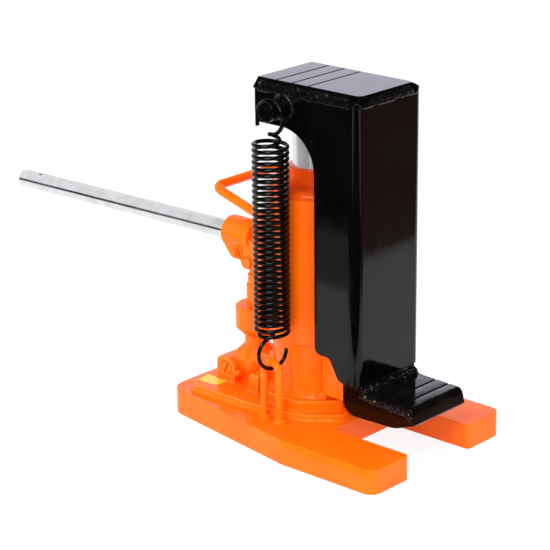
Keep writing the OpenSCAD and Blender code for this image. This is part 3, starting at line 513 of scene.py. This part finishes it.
FINISHES = {
    "orange_enamel": orange_enamel,
    "orange_casting": lambda: orange_enamel("orange_casting", 0.22),
    # cast_skin has paler sharp edges: partly thin paint, partly a painted highlight.
    "cast_skin": lambda: orange_enamel("cast_skin", 0.22, edge_wear_and_highlight=0.55),
    # The cap's paint is darker and redder as painted shade, for the shade under the head.
    "cap_enamel_shaded": lambda: orange_enamel("cap_enamel_shaded", painted_shade_tint=(0.86, 0.55, 1)),
    "black_enamel": black_enamel,
    "weld_black": weld_black,
    "weld_chipped_glinting": weld_chipped_glinting,
    "weld_orange": lambda: orange_enamel("weld_orange", 0.6),
    "toe_black": toe_black,
    "black_wire": black_wire,
    "chrome_plate": chrome_plate,
    "bright_zinc": bright_zinc,
    "machined_steel": machined_steel,
    "soft_copper": soft_copper,
    "seal_rubber": seal_rubber,
    "blank_label": blank_label,
}


def finish_named(name):
    """A finish, made when it is first asked for."""
    return bpy.data.materials.get(name) or FINISHES[name]()


# Shapes


def copied(node):
    """A merged copy of a CAD node, with its flat faces joined."""
    shape = bmesh.new()
    shape.from_mesh(frame["nodes"][node].data)
    bmesh.ops.remove_doubles(shape, verts=shape.verts, dist=MERGE)
    bmesh.ops.dissolve_limit(shape, angle_limit=FLAT_ANGLE, verts=shape.verts, edges=shape.edges)
    return shape


def eased(shape, width, segments=3):
    """Rounds every hard edge, outside and inside corners alike."""
    edges = [e for e in shape.edges if e.is_manifold and e.calc_face_angle() > HARD_ANGLE]
    bmesh.ops.bevel(
        shape,
        geom=edges,
        offset=width,
        offset_type="OFFSET",
        segments=segments,
        profile=0.5,
        affect="EDGES",
        clamp_overlap=False,
        loop_slide=True,
        material=-1,
    )
    return shape


def linked(name, data):
    """A new object in the scene, at the origin."""
    piece = bpy.data.objects.new(name, data)
    bpy.context.scene.collection.objects.link(piece)
    return piece


def as_object(name, shape):
    """The finished mesh as an object at the origin."""
    mesh = bpy.data.meshes.new(name)
    shape.to_mesh(mesh)
    shape.free()
    return linked(name, mesh)


def baked(holder):
    """An object with its modifiers or its curve turned into plain mesh."""
    graph = bpy.context.evaluated_depsgraph_get()
    mesh = bpy.data.meshes.new_from_object(holder.evaluated_get(graph))
    name = holder.name
    bpy.data.objects.remove(holder)
    mesh.name = name
    return linked(name, mesh)


def dressed(piece, finish, body, nodes=(), even=True):
    """Shading, finish and the body that carries the piece."""
    mesh = piece.data
    mesh.shade_smooth()
    mesh.materials.clear()
    mesh.materials.append(finish_named(finish))
    if even:
        mesh.set_sharp_from_angle(angle=SHARP_ANGLE)
        weigh = piece.modifiers.new("even_faces", "WEIGHTED_NORMAL")
        weigh.keep_sharp = True
    if body:
        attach(piece, body)
    if nodes:
        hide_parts(*nodes)
    return piece


def eased_node(name, node, width, finish, segments=3):
    """A CAD node with its edges rounded, standing for the node."""
    shape = copied(node)
    if width:
        eased(shape, width, segments)
    original = frame["nodes"][node]
    return dressed(as_object(name, shape), finish, original["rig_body"], (node,))


def kept_node(node, finish):
    """A CAD node that stays, with a better finish."""
    mesh = frame["nodes"][node].data
    mesh.materials.clear()
    mesh.materials.append(finish_named(finish))


def prism(shape, points, low, high):
    """An upright prism on an outline, in millimetres."""
    base = shape.faces.new([shape.verts.new(mm(x, y, low)) for x, y in points])
    sides = bmesh.ops.extrude_face_region(shape, geom=[base], use_keep_orig=True)
    tops = [v for v in sides["geom"] if isinstance(v, bmesh.types.BMVert)]
    bmesh.ops.translate(shape, verts=tops, vec=mm(0, 0, high - low))
    bmesh.ops.recalc_face_normals(shape, faces=shape.faces)
    return list(base.verts) + tops


def round_bar(shape, place, low_r, high_r, length, turn=Matrix.Identity(4), segments=ROUND_STEPS):
    """A cylinder or cone from a place along +Z, or along what the turn makes of it."""
    middle = Matrix.Translation((0, 0, length * MM / 2))
    bmesh.ops.create_cone(
        shape,
        cap_ends=True,
        segments=segments,
        radius1=low_r * MM,
        radius2=high_r * MM,
        depth=length * MM,
        matrix=Matrix.Translation(mm(*place)) @ turn @ middle,
    )


def turned(profile, centre, axis, steps):
    """A turned part: a profile of (radius, along) pairs spun round an axis."""
    centre = mm(*centre)
    axis = Vector(axis)
    side = axis.orthogonal().normalized()
    shape = bmesh.new()
    verts = [shape.verts.new(centre + side * r * MM + axis * a * MM) for r, a in profile]
    ring = [shape.edges.new((verts[i - 1], verts[i])) for i in range(len(verts))]
    bmesh.ops.spin(
        shape,
        geom=verts + ring,
        cent=centre,
        axis=axis,
        angle=2 * math.pi,
        steps=steps,
        use_merge=True,
    )
    bmesh.ops.remove_doubles(shape, verts=shape.verts, dist=MERGE)
    bmesh.ops.recalc_face_normals(shape, faces=shape.faces)
    return shape


def fused(name, shape, fineness, passes, holes):
    """One cast skin over overlapping lumps, its corners eased, with holes bored in it."""
    holder = as_object(name, shape)
    skin = holder.modifiers.new("skin", "REMESH")
    skin.mode = "VOXEL"
    skin.voxel_size = fineness
    ease = holder.modifiers.new("ease", "SMOOTH")
    ease.factor = 0.5
    ease.iterations = passes
    drill = as_object(name + "_drill", holes)
    bore = holder.modifiers.new("bore", "BOOLEAN")
    bore.operation = "DIFFERENCE"
    bore.solver = "EXACT"
    bore.object = drill
    piece = baked(holder)
    bpy.data.objects.remove(drill)
    return piece


def swept(name, points, radius, swell=None, closed=False, fineness=4):
    """A round bar along points, its thickness varied by swell."""
    curve = bpy.data.curves.new(name, "CURVE")
    curve.dimensions = "3D"
    curve.bevel_depth = radius
    curve.bevel_resolution = fineness
    curve.use_fill_caps = True
    spline = curve.splines.new("POLY")
    spline.points.add(len(points) - 1)
    for i, point in enumerate(points):
        spline.points[i].co = (*point, 1)
        spline.points[i].radius = swell[i] if swell else 1.0
    spline.use_cyclic_u = closed
    return baked(linked(name, curve))


def spaced(points, step, closed=False):
    """Points at even steps along a line of points."""
    line = [Vector(p) for p in points]
    if closed:
        line.append(line[0])
    found = [line[0].copy()]
    left = step
    for a, b in zip(line, line[1:]):
        run = (b - a).length
        while run > 1e-9 and left <= run:
            found.append(a.lerp(b, left / run))
            left += step
        left -= run
    return found


class Bead:
    """Weld beads of one kind: the body that carries them, their finish and how lumpy they are."""

    step = 0.7 * MM
    rough_wave, rough_share = 0.45, 0.8

    def __init__(self, body, finish, slot, lump, wave):
        self.body = body
        self.finish = finish
        self.slot = slot
        self.lump = lump
        self.wave = wave

    def lay(self, name, points, radius, closed=False, seed=0.0, grow=0.0):
        """A lumpy bar along a joint."""
        path = spaced(points, self.step, closed)
        swell = []
        for i, point in enumerate(path):
            wobble = noise.noise(point / self.wave + Vector((seed, 0, 0)))
            swell.append((1 + self.lump * wobble) * (1 + grow * i / len(path)))
        piece = swept(name, path, radius, swell, closed, 3)
        shape = bmesh.new()
        shape.from_mesh(piece.data)
        bmesh.ops.remove_doubles(shape, verts=shape.verts, dist=MERGE)
        shape.normal_update()
        for v in shape.verts:
            rough = noise.noise(v.co / (self.wave * self.rough_wave) + Vector((0, seed, 0)))
            v.co += v.normal * rough * radius * self.lump * self.rough_share
        shape.to_mesh(piece.data)
        shape.free()
        return dressed(piece, self.finish, self.body, even=False)


def mound(shape, place, radius, height, seed, lump=0.22, wave=4 * MM):
    """A blob of weld metal round the foot of a bar."""
    blob = bmesh.ops.create_uvsphere(shape, u_segments=28, v_segments=16, radius=1.0)["verts"]
    bmesh.ops.scale(shape, verts=blob, vec=mm(radius, radius, height))
    for v in blob:
        v.co *= 1 + lump * noise.noise(v.co / wave + Vector((seed, 0, 0)))
    bmesh.ops.translate(shape, verts=blob, vec=mm(*place))


# Operators, one for each piece or group of like pieces


class JACK_OT_base(bpy.types.Operator):
    """Forked base plate with flame-cut edges eased"""

    bl_idname = "jack.base"
    bl_label = "Base plate"

    def execute(self, context):
        eased_node("forked_base", "base_plate", context.scene.jack_sizes.plate_edge, "orange_enamel")
        return {"FINISHED"}


class JACK_OT_cast_body(bpy.types.Operator):
    """Cast body: pad, eight-sided flange, boss, pump foot, valve block and rib under one skin"""

    bl_idname = "jack.cast_body"
    bl_label = "Cast body"

    def execute(self, context):
        sizes = context.scene.jack_sizes
        shape = bmesh.new()
        outline = rounded(mirrored(PAD_OUTLINE))
        prism(shape, outline, PAD_LOW, PAD_TOP)
        turn = Matrix.Rotation(FLANGE_TURN, 4, "Z")
        flange_h = FLANGE_TOP - PAD_TOP + SINK
        round_bar(shape, (0, 0, PAD_TOP - SINK), FLANGE_R, FLANGE_R, flange_h, turn, FLANGE_SIDES)
        round_bar(shape, (0, 0, FLANGE_TOP - SINK), RING_FOOT_R, BOSS_R, RING_TOP - FLANGE_TOP + SINK)
        round_bar(shape, (0, 0, PAD_TOP), BOSS_R, BOSS_R, BOSS_TOP - PAD_TOP)
        round_bar(shape, (PUMP_X, 0, PAD_TOP - SINK), FOOT_R, FOOT_R, FOOT_TOP - PAD_TOP + SINK)
        round_bar(shape, (PUMP_X, 0, FOOT_TOP), FOOT_R, CONE_R, CONE_TOP - FOOT_TOP)
        web = ((PUMP_X, -WEB_HALF), (WEB_X, -WEB_HALF), (WEB_X, WEB_HALF), (PUMP_X, WEB_HALF))
        prism(shape, web, PAD_TOP - SINK, WEB_TOP)
        block = prism(shape, rounded(VALVE_OUTLINE), 0, -VALVE_FACE_Y)
        upright = Matrix.Rotation(math.radians(90), 3, "X")
        bmesh.ops.rotate(shape, verts=block, cent=(0, 0, 0), matrix=upright)
        rib = bmesh.ops.create_cube(shape, size=1.0)["verts"]
        bmesh.ops.scale(shape, verts=rib, vec=mm(*RIB_SIZE))
        bmesh.ops.translate(shape, verts=rib, vec=mm(*RIB_PLACE))
        for v in rib:
            if v.co.z > RIB_PLACE[2] * MM and v.co.x < RIB_PLACE[0] * MM:
                v.co.x += RIB_LEAN * MM
        holes = bmesh.new()
        mouth = (VALVE_X, VALVE_FACE_Y - DRILL_OVER, VALVE_Z)
        along_y = Matrix.Rotation(math.radians(-90), 4, "X")
        round_bar(holes, mouth, VALVE_HOLE_R, VALVE_HOLE_R, VALVE_HOLE_DEPTH + DRILL_OVER, along_y)
        round_bar(holes, (0, 0, RING_TOP), CYLINDER_R, CYLINDER_R, BOSS_TOP - RING_TOP + BORE_OVER)
        piece = fused("cast_body", shape, sizes.cast_grain, 2, holes)
        dressed(piece, "cast_skin", "base", ("body_casting",), even=False)
        edge = [mm(x, y, PAD_LOW + 0.6) for x, y in outline]
        weld = Bead("base", "weld_orange", "orange_paint", lump=0.16, wave=11 * MM)
        weld.lay("pad_weld", edge, 5.4 * MM, closed=True, seed=3.0)
        return {"FINISHED"}


class JACK_OT_cylinder(bpy.types.Operator):
    """Reservoir tube, cap, ram and the ram's seat"""

    bl_idname = "jack.cylinder"
    bl_label = "Cylinder and ram"

    def execute(self, context):
        sizes = context.scene.jack_sizes
        eased_node("oil_tube", "reservoir_tube", sizes.pin_edge, "orange_enamel")
        # The cap's finish holds painted shade for the shade under the head.
        eased_node("screw_cap", "top_cap", 0.3 * MM, "cap_enamel_shaded", 2)
        eased_node("ram_rod", "ram", 1.0 * MM, "chrome_plate")
        eased_node("ram_socket", "ram_seat", sizes.pin_edge, "black_enamel")
        eased_node("filler_bung", "filler_plug", sizes.pin_edge, "seal_rubber")
        return {"FINISHED"}


class JACK_OT_guide(bpy.types.Operator):
    """Guide casting in front of the tube, with its weld to the flange"""

    bl_idname = "jack.guide"
    bl_label = "Guide"

    def execute(self, context):
        eased_node("guide_casting", "guide_block", context.scene.jack_sizes.cast_edge, "orange_casting")
        shape = bmesh.new()
        for side in (-1, 1):
            foot = (GUIDE_WELD_X, side * GUIDE_WELD_Y, RING_TOP - SINK)
            mound(shape, foot, radius=5, height=6, seed=side * 2.0)
        dressed(as_object("guide_weld", shape), "weld_orange", "base", even=False)
        return {"FINISHED"}


class JACK_OT_carry_handle(bpy.types.Operator):
    """Bent rod loop for carrying, welded to the tube"""

    bl_idname = "jack.carry_handle"
    bl_label = "Carry handle"

    def execute(self, context):
        eased_node("carry_loop", "carry_handle", 0, "orange_enamel")
        return {"FINISHED"}


class JACK_OT_staples(bpy.types.Operator):
    """Rod staples that hold the springs, with the weld round their feet"""

    bl_idname = "jack.staples"
    bl_label = "Spring staples"

    def execute(self, context):
        for side, word in SIDES:
            eased_node("staple_" + word, "spring_anchor_" + word, 0, "orange_enamel")
            shape = bmesh.new()
            for end in (-1, 1):
                foot = (STAPLE_X + end * STAPLE_HALF, side * SPRING_Y, PAD_LOW)
                mound(shape, foot, radius=8.4, height=5.6, seed=side + end * 0.4)
            piece = as_object("staple_weld_" + word, shape)
            dressed(piece, "weld_orange", "base", even=False)
        return {"FINISHED"}


class JACK_OT_springs(bpy.types.Operator):
    """Return springs wound as one wire each, hooked on the peg and the staple"""

    bl_idname = "jack.springs"
    bl_label = "Return springs"

    def ease(self, share):
        """A share from 0 to 1 that starts and ends slowly."""
        return share * share * (3 - 2 * share)

    def path(self, turns, per_turn=28):
        """The wire's middle line about the spring's own axis, in millimetres."""
        line = [(-COIL_R, 0, LOOP_Z - HOOK_LEG * (1 - i / 4)) for i in range(4)]
        for i in range(HOOK_STEPS):
            a = math.radians(180 - HOOK_SWEEP * i / HOOK_STEPS)
            line.append((COIL_R * math.cos(a), 0, LOOP_Z + COIL_R * math.sin(a)))
        low = LOOP_Z - COIL_R
        for i in range(per_turn):
            s = i / per_turn
            a = math.radians(180 - HOOK_SWEEP * s)
            z = low + (COIL_TOP - low) * self.ease(s)
            line.append((COIL_R * s * math.cos(a), COIL_R * s * math.sin(a), z))
        for i in range(turns * per_turn):
            a = math.radians(-90 - 360 * i / per_turn)
            z = COIL_TOP + (COIL_BOTTOM - COIL_TOP) * i / (turns * per_turn)
            line.append((COIL_R * math.cos(a), COIL_R * math.sin(a), z))
        high = EYE_Z + COIL_R
        steps = round(per_turn * HOOK_SWEEP / 360)
        for i in range(steps):
            s = i / steps
            a = math.radians(-90 - EYE_TWIST * s)
            r = COIL_R * (1 - s)
            z = COIL_BOTTOM + (high - COIL_BOTTOM) * self.ease(s)
            line.append((r * math.cos(a), r * math.sin(a), z))
        across = Vector((math.cos(EYE_HEADING), math.sin(EYE_HEADING)))
        for i in range(HOOK_STEPS + 1):
            a = math.radians(90 + EYE_SWEEP * i / HOOK_STEPS)
            out = across * COIL_R * math.cos(a)
            line.append((out.x, out.y, EYE_Z + COIL_R * math.sin(a)))
        return line

    def execute(self, context):
        sizes = context.scene.jack_sizes
        line = self.path(sizes.spring_turns)
        for side, word in SIDES:
            points = [mm(SPRING_X - side * x, side * SPRING_Y - side * y, z) for x, y, z in line]
            piece = swept("spring_wire_" + word, points, sizes.spring_wire / 2)
            dressed(piece, "black_wire", None, ("return_spring_" + word,), even=False)
            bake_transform(piece)
        return {"FINISHED"}


class JACK_OT_pump(bpy.types.Operator):
    """Pump column, plunger and their pins"""

    bl_idname = "jack.pump"
    bl_label = "Pump"

    def execute(self, context):
        sizes = context.scene.jack_sizes
        eased_node("pump_column", "pump_barrel", 0.9 * MM, "orange_casting")
        eased_node("plunger_rod", "pump_plunger", sizes.pin_edge, "orange_enamel")
        eased_node("plunger_cross_pin", "plunger_pin", sizes.pin_edge, "orange_enamel")
        eased_node("fulcrum_cross_pin", "fulcrum_pin", sizes.pin_edge, "orange_enamel")
        return {"FINISHED"}


class JACK_OT_lever(bpy.types.Operator):
    """Cast handle socket with its pinch bolt, and the handle tube"""

    bl_idname = "jack.lever"
    bl_label = "Lever and handle"

    def execute(self, context):
        sizes = context.scene.jack_sizes
        eased_node("handle_socket", "lever_socket", sizes.cast_edge, "orange_casting")
        eased_node("pinch_screw", "pinch_bolt", sizes.pin_edge, "orange_enamel")
        eased_node("pinch_screw_nut", "pinch_nut", sizes.pin_edge, "orange_enamel")
        eased_node("pump_handle", "handle_tube", 0.8 * MM, "bright_zinc")
        pivot = mm(FULCRUM_X, 0, FULCRUM_Z)
        droop = Matrix.Rotation(-HANDLE_DROOP, 4, "Y")
        turn = Matrix.Translation(pivot) @ droop @ Matrix.Translation(-pivot)
        for side, word in SIDES:
            ends = [mm(x, side * (SOCKET_R + 0.1), HANDLE_Z) for x in SEAM_ENDS]
            seam = swept("socket_seam_" + word, [turn @ p for p in spaced(ends, 2 * MM)], SEAM_R * MM)
            dressed(seam, "orange_casting", "pump_lever", even=False)
        boss = turned(BOLT_BOSS, (BOLT_X, -CHEEK_OUT, BOLT_Z), (0, 1, 0), 48)
        bmesh.ops.transform(boss, matrix=turn, verts=boss.verts)
        dressed(as_object("bolt_boss", boss), "orange_casting", "pump_lever")
        return {"FINISHED"}


class JACK_OT_release_valve(bpy.types.Operator):
    """Slotted release screw and the plugs beside it"""

    bl_idname = "jack.release_valve"
    bl_label = "Release valve"

    def execute(self, context):
        eased_node("release_spindle", "release_screw", 0.4 * MM, "orange_enamel", 2)
        eased_node("passage_plugs", "valve_plugs", context.scene.jack_sizes.pin_edge, "orange_enamel")
        return {"FINISHED"}


class JACK_OT_lift_frame(bpy.types.Operator):
    """Black lifting frame: bent channel, grooved head, toe and spring pegs"""

    bl_idname = "jack.lift_frame"
    bl_label = "Lifting frame"

    def execute(self, context):
        sizes = context.scene.jack_sizes
        eased_node("bent_channel", "frame_channel", sizes.plate_edge, "black_enamel")
        head = copied("head_plate")
        corners = []
        for v in head.verts:
            if v.co.z > HEAD_TOP * MM - MERGE and v.co.x > HEAD_FLAT_X * MM - MERGE:
                corners.append(v)
        bmesh.ops.bevel(
            head,
            geom=corners,
            offset=HEAD_CORNER * MM,
            offset_type="OFFSET",
            segments=4,
            profile=0.5,
            affect="VERTICES",
            clamp_overlap=True,
            material=-1,
        )
        everything = head.verts[:] + head.edges[:] + head.faces[:]
        cut = bmesh.ops.bisect_plane(
            head,
            geom=everything,
            dist=MERGE,
            plane_co=mm(HEAD_BACK_X, 0, HEAD_TOP),
            plane_no=mm(HEAD_UNDER - HEAD_TOP, 0, -HEAD_LEAN),
            clear_outer=True,
        )
        rim = [e for e in cut["geom_cut"] if isinstance(e, bmesh.types.BMEdge)]
        bmesh.ops.contextual_create(head, geom=rim)
        bmesh.ops.recalc_face_normals(head, faces=head.faces)
        eased(head, 0.5 * MM, 2)
        piece = as_object("grooved_head", head)
        dressed(piece, "black_enamel", "lift_frame", ("head_plate",))
        toe = eased_node("lifting_toe", "toe", sizes.plate_edge, "toe_black")
        toe.data.materials.append(finish_named("black_enamel"))
        for face in toe.data.polygons:
            if abs(face.normal.y) > SIDE_FACING:
                face.material_index = 1
        for _, word in SIDES:
            eased_node("spring_peg_" + word, "spring_pin_" + word, 1.0 * MM, "black_enamel")
        return {"FINISHED"}


class JACK_OT_frame_welds(bpy.types.Operator):
    """Weld beads of the lifting frame"""

    bl_idname = "jack.frame_welds"
    bl_label = "Frame welds"

    def head_line(self, front, half, corner, z):
        """A level line round the head, with its front corners rounded."""
        back = HEAD_BACK_X + 10
        outline = ((back, -half, 1), (front, -half, corner), (front, half, corner), (back, half, 1))
        return [mm(x, y, z) for x, y in rounded(outline)]

    def execute(self, context):
        radius = context.scene.jack_sizes.bead
        weld = Bead("lift_frame", "weld_black", "black_paint", lump=0.24, wave=12 * MM)
        # The rough toe beads carry pale flecks: partly bare metal, partly painted glints.
        rough = Bead("lift_frame", "weld_chipped_glinting", "black_paint", lump=0.5, wave=4.4 * MM)
        front = (FRAME_FRONT_X + HEAD_FLAT_X) / 2 - 3.6
        half = (FRAME_HALF_W + HEAD_FLAT_HALF) / 2 - 3
        rim = self.head_line(front, half, 16, (HEAD_TOP + HEAD_RIM) / 2 - 4)
        weld.lay("head_weld", rim, 6.2 * MM, closed=True, seed=1.0)
        skirt = self.head_line(FRAME_FRONT_X - 2.6, FRAME_HALF_W - 2.6, 11, HEAD_UNDER - 0.6)
        weld.lay("head_weld_low", skirt, radius, closed=True, seed=5.0)
        root = [mm(FRAME_FRONT_X + 0.8, y, TOE_TOP + 2.4) for y in (-TOE_HALF_W + 1, TOE_HALF_W - 1)]
        rough.lay("toe_root_weld", root, 4.4 * MM, seed=7.0)
        for side, word in SIDES:
            edge = [
                mm(FRAME_FRONT_X - 2, side * (TOE_HALF_W - 1.2), TOE_TOP - 1.6),
                mm(FRAME_FRONT_X + 12, side * (TOE_HALF_W - 1.6), TOE_TOP - 4),
                mm(FRAME_FRONT_X + 44, side * (TOE_TIP_HALF - 0.8), TOE_TOP - 6),
                mm(TOE_TIP_X - 12, side * (TOE_TIP_HALF - 1.6), TOE_TOP - 7.6),
                mm(TOE_TIP_X - 6, side * (TOE_TIP_HALF - 1.8), TOE_TOP - 13),
            ]
            rough.lay("toe_edge_weld_" + word, edge, 2.8 * MM, seed=9.0 + side, grow=0.6)
            ends = (CHEEK_BACK_X, FRAME_FRONT_X - 4)
            cheek = [mm(x, side * (TOE_HALF_W + 0.6), FRONT_FOOT_Z - 0.8) for x in ends]
            weld.lay("toe_cheek_weld_" + word, cheek, radius, seed=11.0 + side)
            ring = []
            for k in range(PEG_WELD_STEPS):
                a = 2 * math.pi * k / PEG_WELD_STEPS
                x = PEG_X + (PEG_R + 1.4) * math.cos(a)
                z = PEG_Z + (PEG_R + 1.4) * math.sin(a)
                ring.append(mm(x, side * (FRAME_HALF_W + 0.4), z))
            weld.lay("peg_weld_" + word, ring, 3.4 * MM, closed=True, seed=13.0 + side)
        return {"FINISHED"}


class JACK_OT_label(bpy.types.Operator):
    """Blank yellow label on the pad"""

    bl_idname = "jack.label"
    bl_label = "Blank label"

    def execute(self, context):
        thick = context.scene.jack_sizes.label / MM
        shape = bmesh.new()
        corners = [(x, y, 1.2) for x, y in LABEL_CORNERS]
        prism(shape, rounded(corners, 4), PAD_TOP - 0.1, PAD_TOP + thick)
        dressed(as_object("blank_label", shape), "blank_label", "base")
        return {"FINISHED"}


class JACK_OT_inner_parts(bpy.types.Operator):
    """Finishes of the working parts inside the hydraulic unit"""

    bl_idname = "jack.inner_parts"
    bl_label = "Inner parts"

    steel = ("pressure_cylinder", "inlet_ball", "outlet_ball", "outlet_spring", "release_ball", "piston")
    seals = ("cap_seal", "ram_wiper", "pump_packing", "piston_seal", "release_packing")

    def execute(self, context):
        for node in self.steel:
            kept_node(node, "machined_steel")
        for node in self.seals:
            kept_node(node, "seal_rubber")
        kept_node("cylinder_gasket", "soft_copper")
        return {"FINISHED"}


class JACK_OT_stage(bpy.types.Operator):
    """Pale floor, soft light and the camera"""

    bl_idname = "jack.stage"
    bl_label = "Stage"

    def floor_finish(self):
        """White with its shadow where it is seen, and plain pale paint for bounced light."""
        made = bpy.data.materials.new("pale_floor")
        tree = empty_tree(made)
        plain = tree.nodes.new("ShaderNodeBsdfDiffuse")
        plain.inputs["Color"].default_value = (*colour_of("floor"), 1)
        shadowed = tree.nodes.new("ShaderNodeBsdfDiffuse")
        shadowed.inputs["Color"].default_value = (*FLOOR_SHADOW, 1)
        glow = tree.nodes.new("ShaderNodeEmission")
        glow.inputs["Strength"].default_value = FLOOR_GLOW
        white = tree.nodes.new("ShaderNodeAddShader")
        tree.links.new(shadowed.outputs[0], white.inputs[0])
        tree.links.new(glow.outputs[0], white.inputs[1])
        mix = tree.nodes.new("ShaderNodeMixShader")
        tree.links.new(where_seen(tree), mix.inputs[0])
        tree.links.new(plain.outputs[0], mix.inputs[1])
        tree.links.new(white.outputs[0], mix.inputs[2])
        out = tree.nodes.new("ShaderNodeOutputMaterial")
        tree.links.new(mix.outputs[0], out.inputs["Surface"])
        return made

    def sky(self, scene):
        """A white surround where it is seen, dimmer as a light."""
        scene.world = bpy.data.worlds.new("studio")
        tree = empty_tree(scene.world)
        light = tree.nodes.new("ShaderNodeBackground")
        light.inputs["Color"].default_value = (*WHITE, 1)
        level = spread(tree, where_seen(tree), SKY_LEVEL, SEEN_LEVEL, 0, 1)
        tree.links.new(level, light.inputs["Strength"])
        out = tree.nodes.new("ShaderNodeOutputWorld")
        tree.links.new(light.outputs[0], out.inputs["Surface"])

    def only_reflected(self, piece, finish):
        """Keeps a studio wall or card out of sight except in reflections."""
        piece.data.materials.append(finish)
        piece.visible_camera = False
        piece.visible_diffuse = False
        piece.visible_transmission = False
        piece.visible_shadow = False

    def matt(self, name, colour):
        """Matt cloth without any sheen."""
        made, tree, surface = material_with(name)
        tint = tinted(tree, grain(tree, 3, 2), ((0.3, shade(colour, 0.8)), (0.7, colour)))
        tree.links.new(tint, surface.inputs["Base Color"])
        surface.inputs["Roughness"].default_value = 1.0
        surface.inputs["IOR"].default_value = 1.0
        return made

    def room(self):
        """Dark walls and ceiling round the stage."""
        shape = bmesh.new()
        walls = bmesh.ops.create_cube(shape, size=1.0)["verts"]
        bmesh.ops.scale(shape, verts=walls, vec=(2 * ROOM_REACH, 2 * ROOM_REACH, ROOM_HEIGHT))
        bmesh.ops.translate(shape, verts=walls, vec=(0, 0, ROOM_HEIGHT / 2))
        ground = min(shape.faces, key=lambda face: face.calc_center_median().z)
        bmesh.ops.delete(shape, geom=[ground], context="FACES_ONLY")
        self.only_reflected(as_object("room", shape), self.matt("room_cloth", ROOM_COLOUR))

    def card(self, name, colour, corners):
        """A dark card on the floor that shows only in reflections."""
        shape = bmesh.new()
        shape.faces.new([shape.verts.new((x, y, CARD_Z)) for x, y in corners])
        self.only_reflected(as_object(name, shape), self.matt(name, colour))

    def bounce(self):
        """A pale card arched over the handle that shows only in reflections."""
        made = bpy.data.materials.new("bounce_white")
        tree = empty_tree(made)
        glow = tree.nodes.new("ShaderNodeEmission")
        glow.inputs["Strength"].default_value = ARCH_LEVEL
        out = tree.nodes.new("ShaderNodeOutputMaterial")
        tree.links.new(glow.outputs[0], out.inputs["Surface"])
        shape = bmesh.new()
        near = [shape.verts.new((ARCH_START, y, z)) for y, z in ARCH]
        far = [shape.verts.new((ARCH_END, y, z)) for y, z in ARCH]
        for i in range(1, len(ARCH)):
            shape.faces.new((near[i - 1], near[i], far[i], far[i - 1]))
        self.only_reflected(as_object("bounce_card", shape), made)

    def lamp(self, name, place, aim, size, power, colour, mirrored_too):
        """A soft box that the camera doesn't see."""
        data = bpy.data.lights.new(name, "AREA")
        data.shape = "RECTANGLE"
        data.size, data.size_y = size
        data.energy = power
        data.color = colour
        lamp = linked(name, data)
        lamp.location = place
        lamp.rotation_euler = (Vector(aim) - Vector(place)).to_track_quat("-Z", "Y").to_euler()
        lamp.visible_camera = False
        lamp.visible_glossy = mirrored_too

    def camera(self, scene):
        """The photo's view."""
        data = bpy.data.cameras.new("camera")
        data.sensor_width = CAMERA_SENSOR
        data.lens = CAMERA_LENS
        data.clip_end = CAMERA_REACH
        swing = Matrix.Rotation(AZIMUTH, 4, "Z")
        nod = Matrix.Rotation(math.pi / 2 - ELEVATION, 4, "X")
        tilt = Matrix.Rotation(ROLL, 4, "Z")
        scene.camera = linked("camera", data)
        scene.camera.matrix_world = Matrix.Translation(CAMERA_PLACE) @ swing @ nod @ tilt

    def execute(self, context):
        scene = context.scene
        scene.view_settings.view_transform = "Standard"
        shape = bmesh.new()
        bmesh.ops.create_grid(shape, x_segments=1, y_segments=1, size=FLOOR_REACH)
        floor = as_object("floor", shape)
        floor.data.materials.append(self.floor_finish())
        self.sky(scene)
        for row in LAMPS:
            self.lamp(*row)
        for row in CARDS:
            self.card(*row)
        self.room()
        self.bounce()
        self.camera(scene)
        return {"FINISHED"}


OPERATORS = (
    JACK_OT_base,
    JACK_OT_cast_body,
    JACK_OT_cylinder,
    JACK_OT_guide,
    JACK_OT_carry_handle,
    JACK_OT_staples,
    JACK_OT_springs,
    JACK_OT_pump,
    JACK_OT_lever,
    JACK_OT_release_valve,
    JACK_OT_lift_frame,
    JACK_OT_frame_welds,
    JACK_OT_label,
    JACK_OT_inner_parts,
    JACK_OT_stage,
)


class JACK_PT_panel(bpy.types.Panel):
    """Buttons for the pieces, with their sizes and colours"""

    bl_idname = "JACK_PT_panel"
    bl_label = "Toe Jack"
    bl_space_type = "VIEW_3D"
    bl_region_type = "UI"
    bl_category = "Toe Jack"

    def draw(self, context):
        for operator in OPERATORS:
            self.layout.operator(operator.bl_idname)
        for group in (context.scene.jack_sizes, context.scene.jack_colours):
            for name in group.__annotations__:
                self.layout.prop(group, name)


CLASSES = (JackSizes, JackColours, *OPERATORS, JACK_PT_panel)


def register():
    for cls in CLASSES:
        bpy.utils.register_class(cls)
    bpy.types.Scene.jack_sizes = PointerProperty(type=JackSizes)
    bpy.types.Scene.jack_colours = PointerProperty(type=JackColours)


def unregister():
    del bpy.types.Scene.jack_colours
    del bpy.types.Scene.jack_sizes
    for cls in reversed(CLASSES):
        bpy.utils.unregister_class(cls)


def main():
    register()
    for operator in OPERATORS:
        group, name = operator.bl_idname.split(".")
        getattr(getattr(bpy.ops, group), name)()


if __name__ == "__main__":
    main()
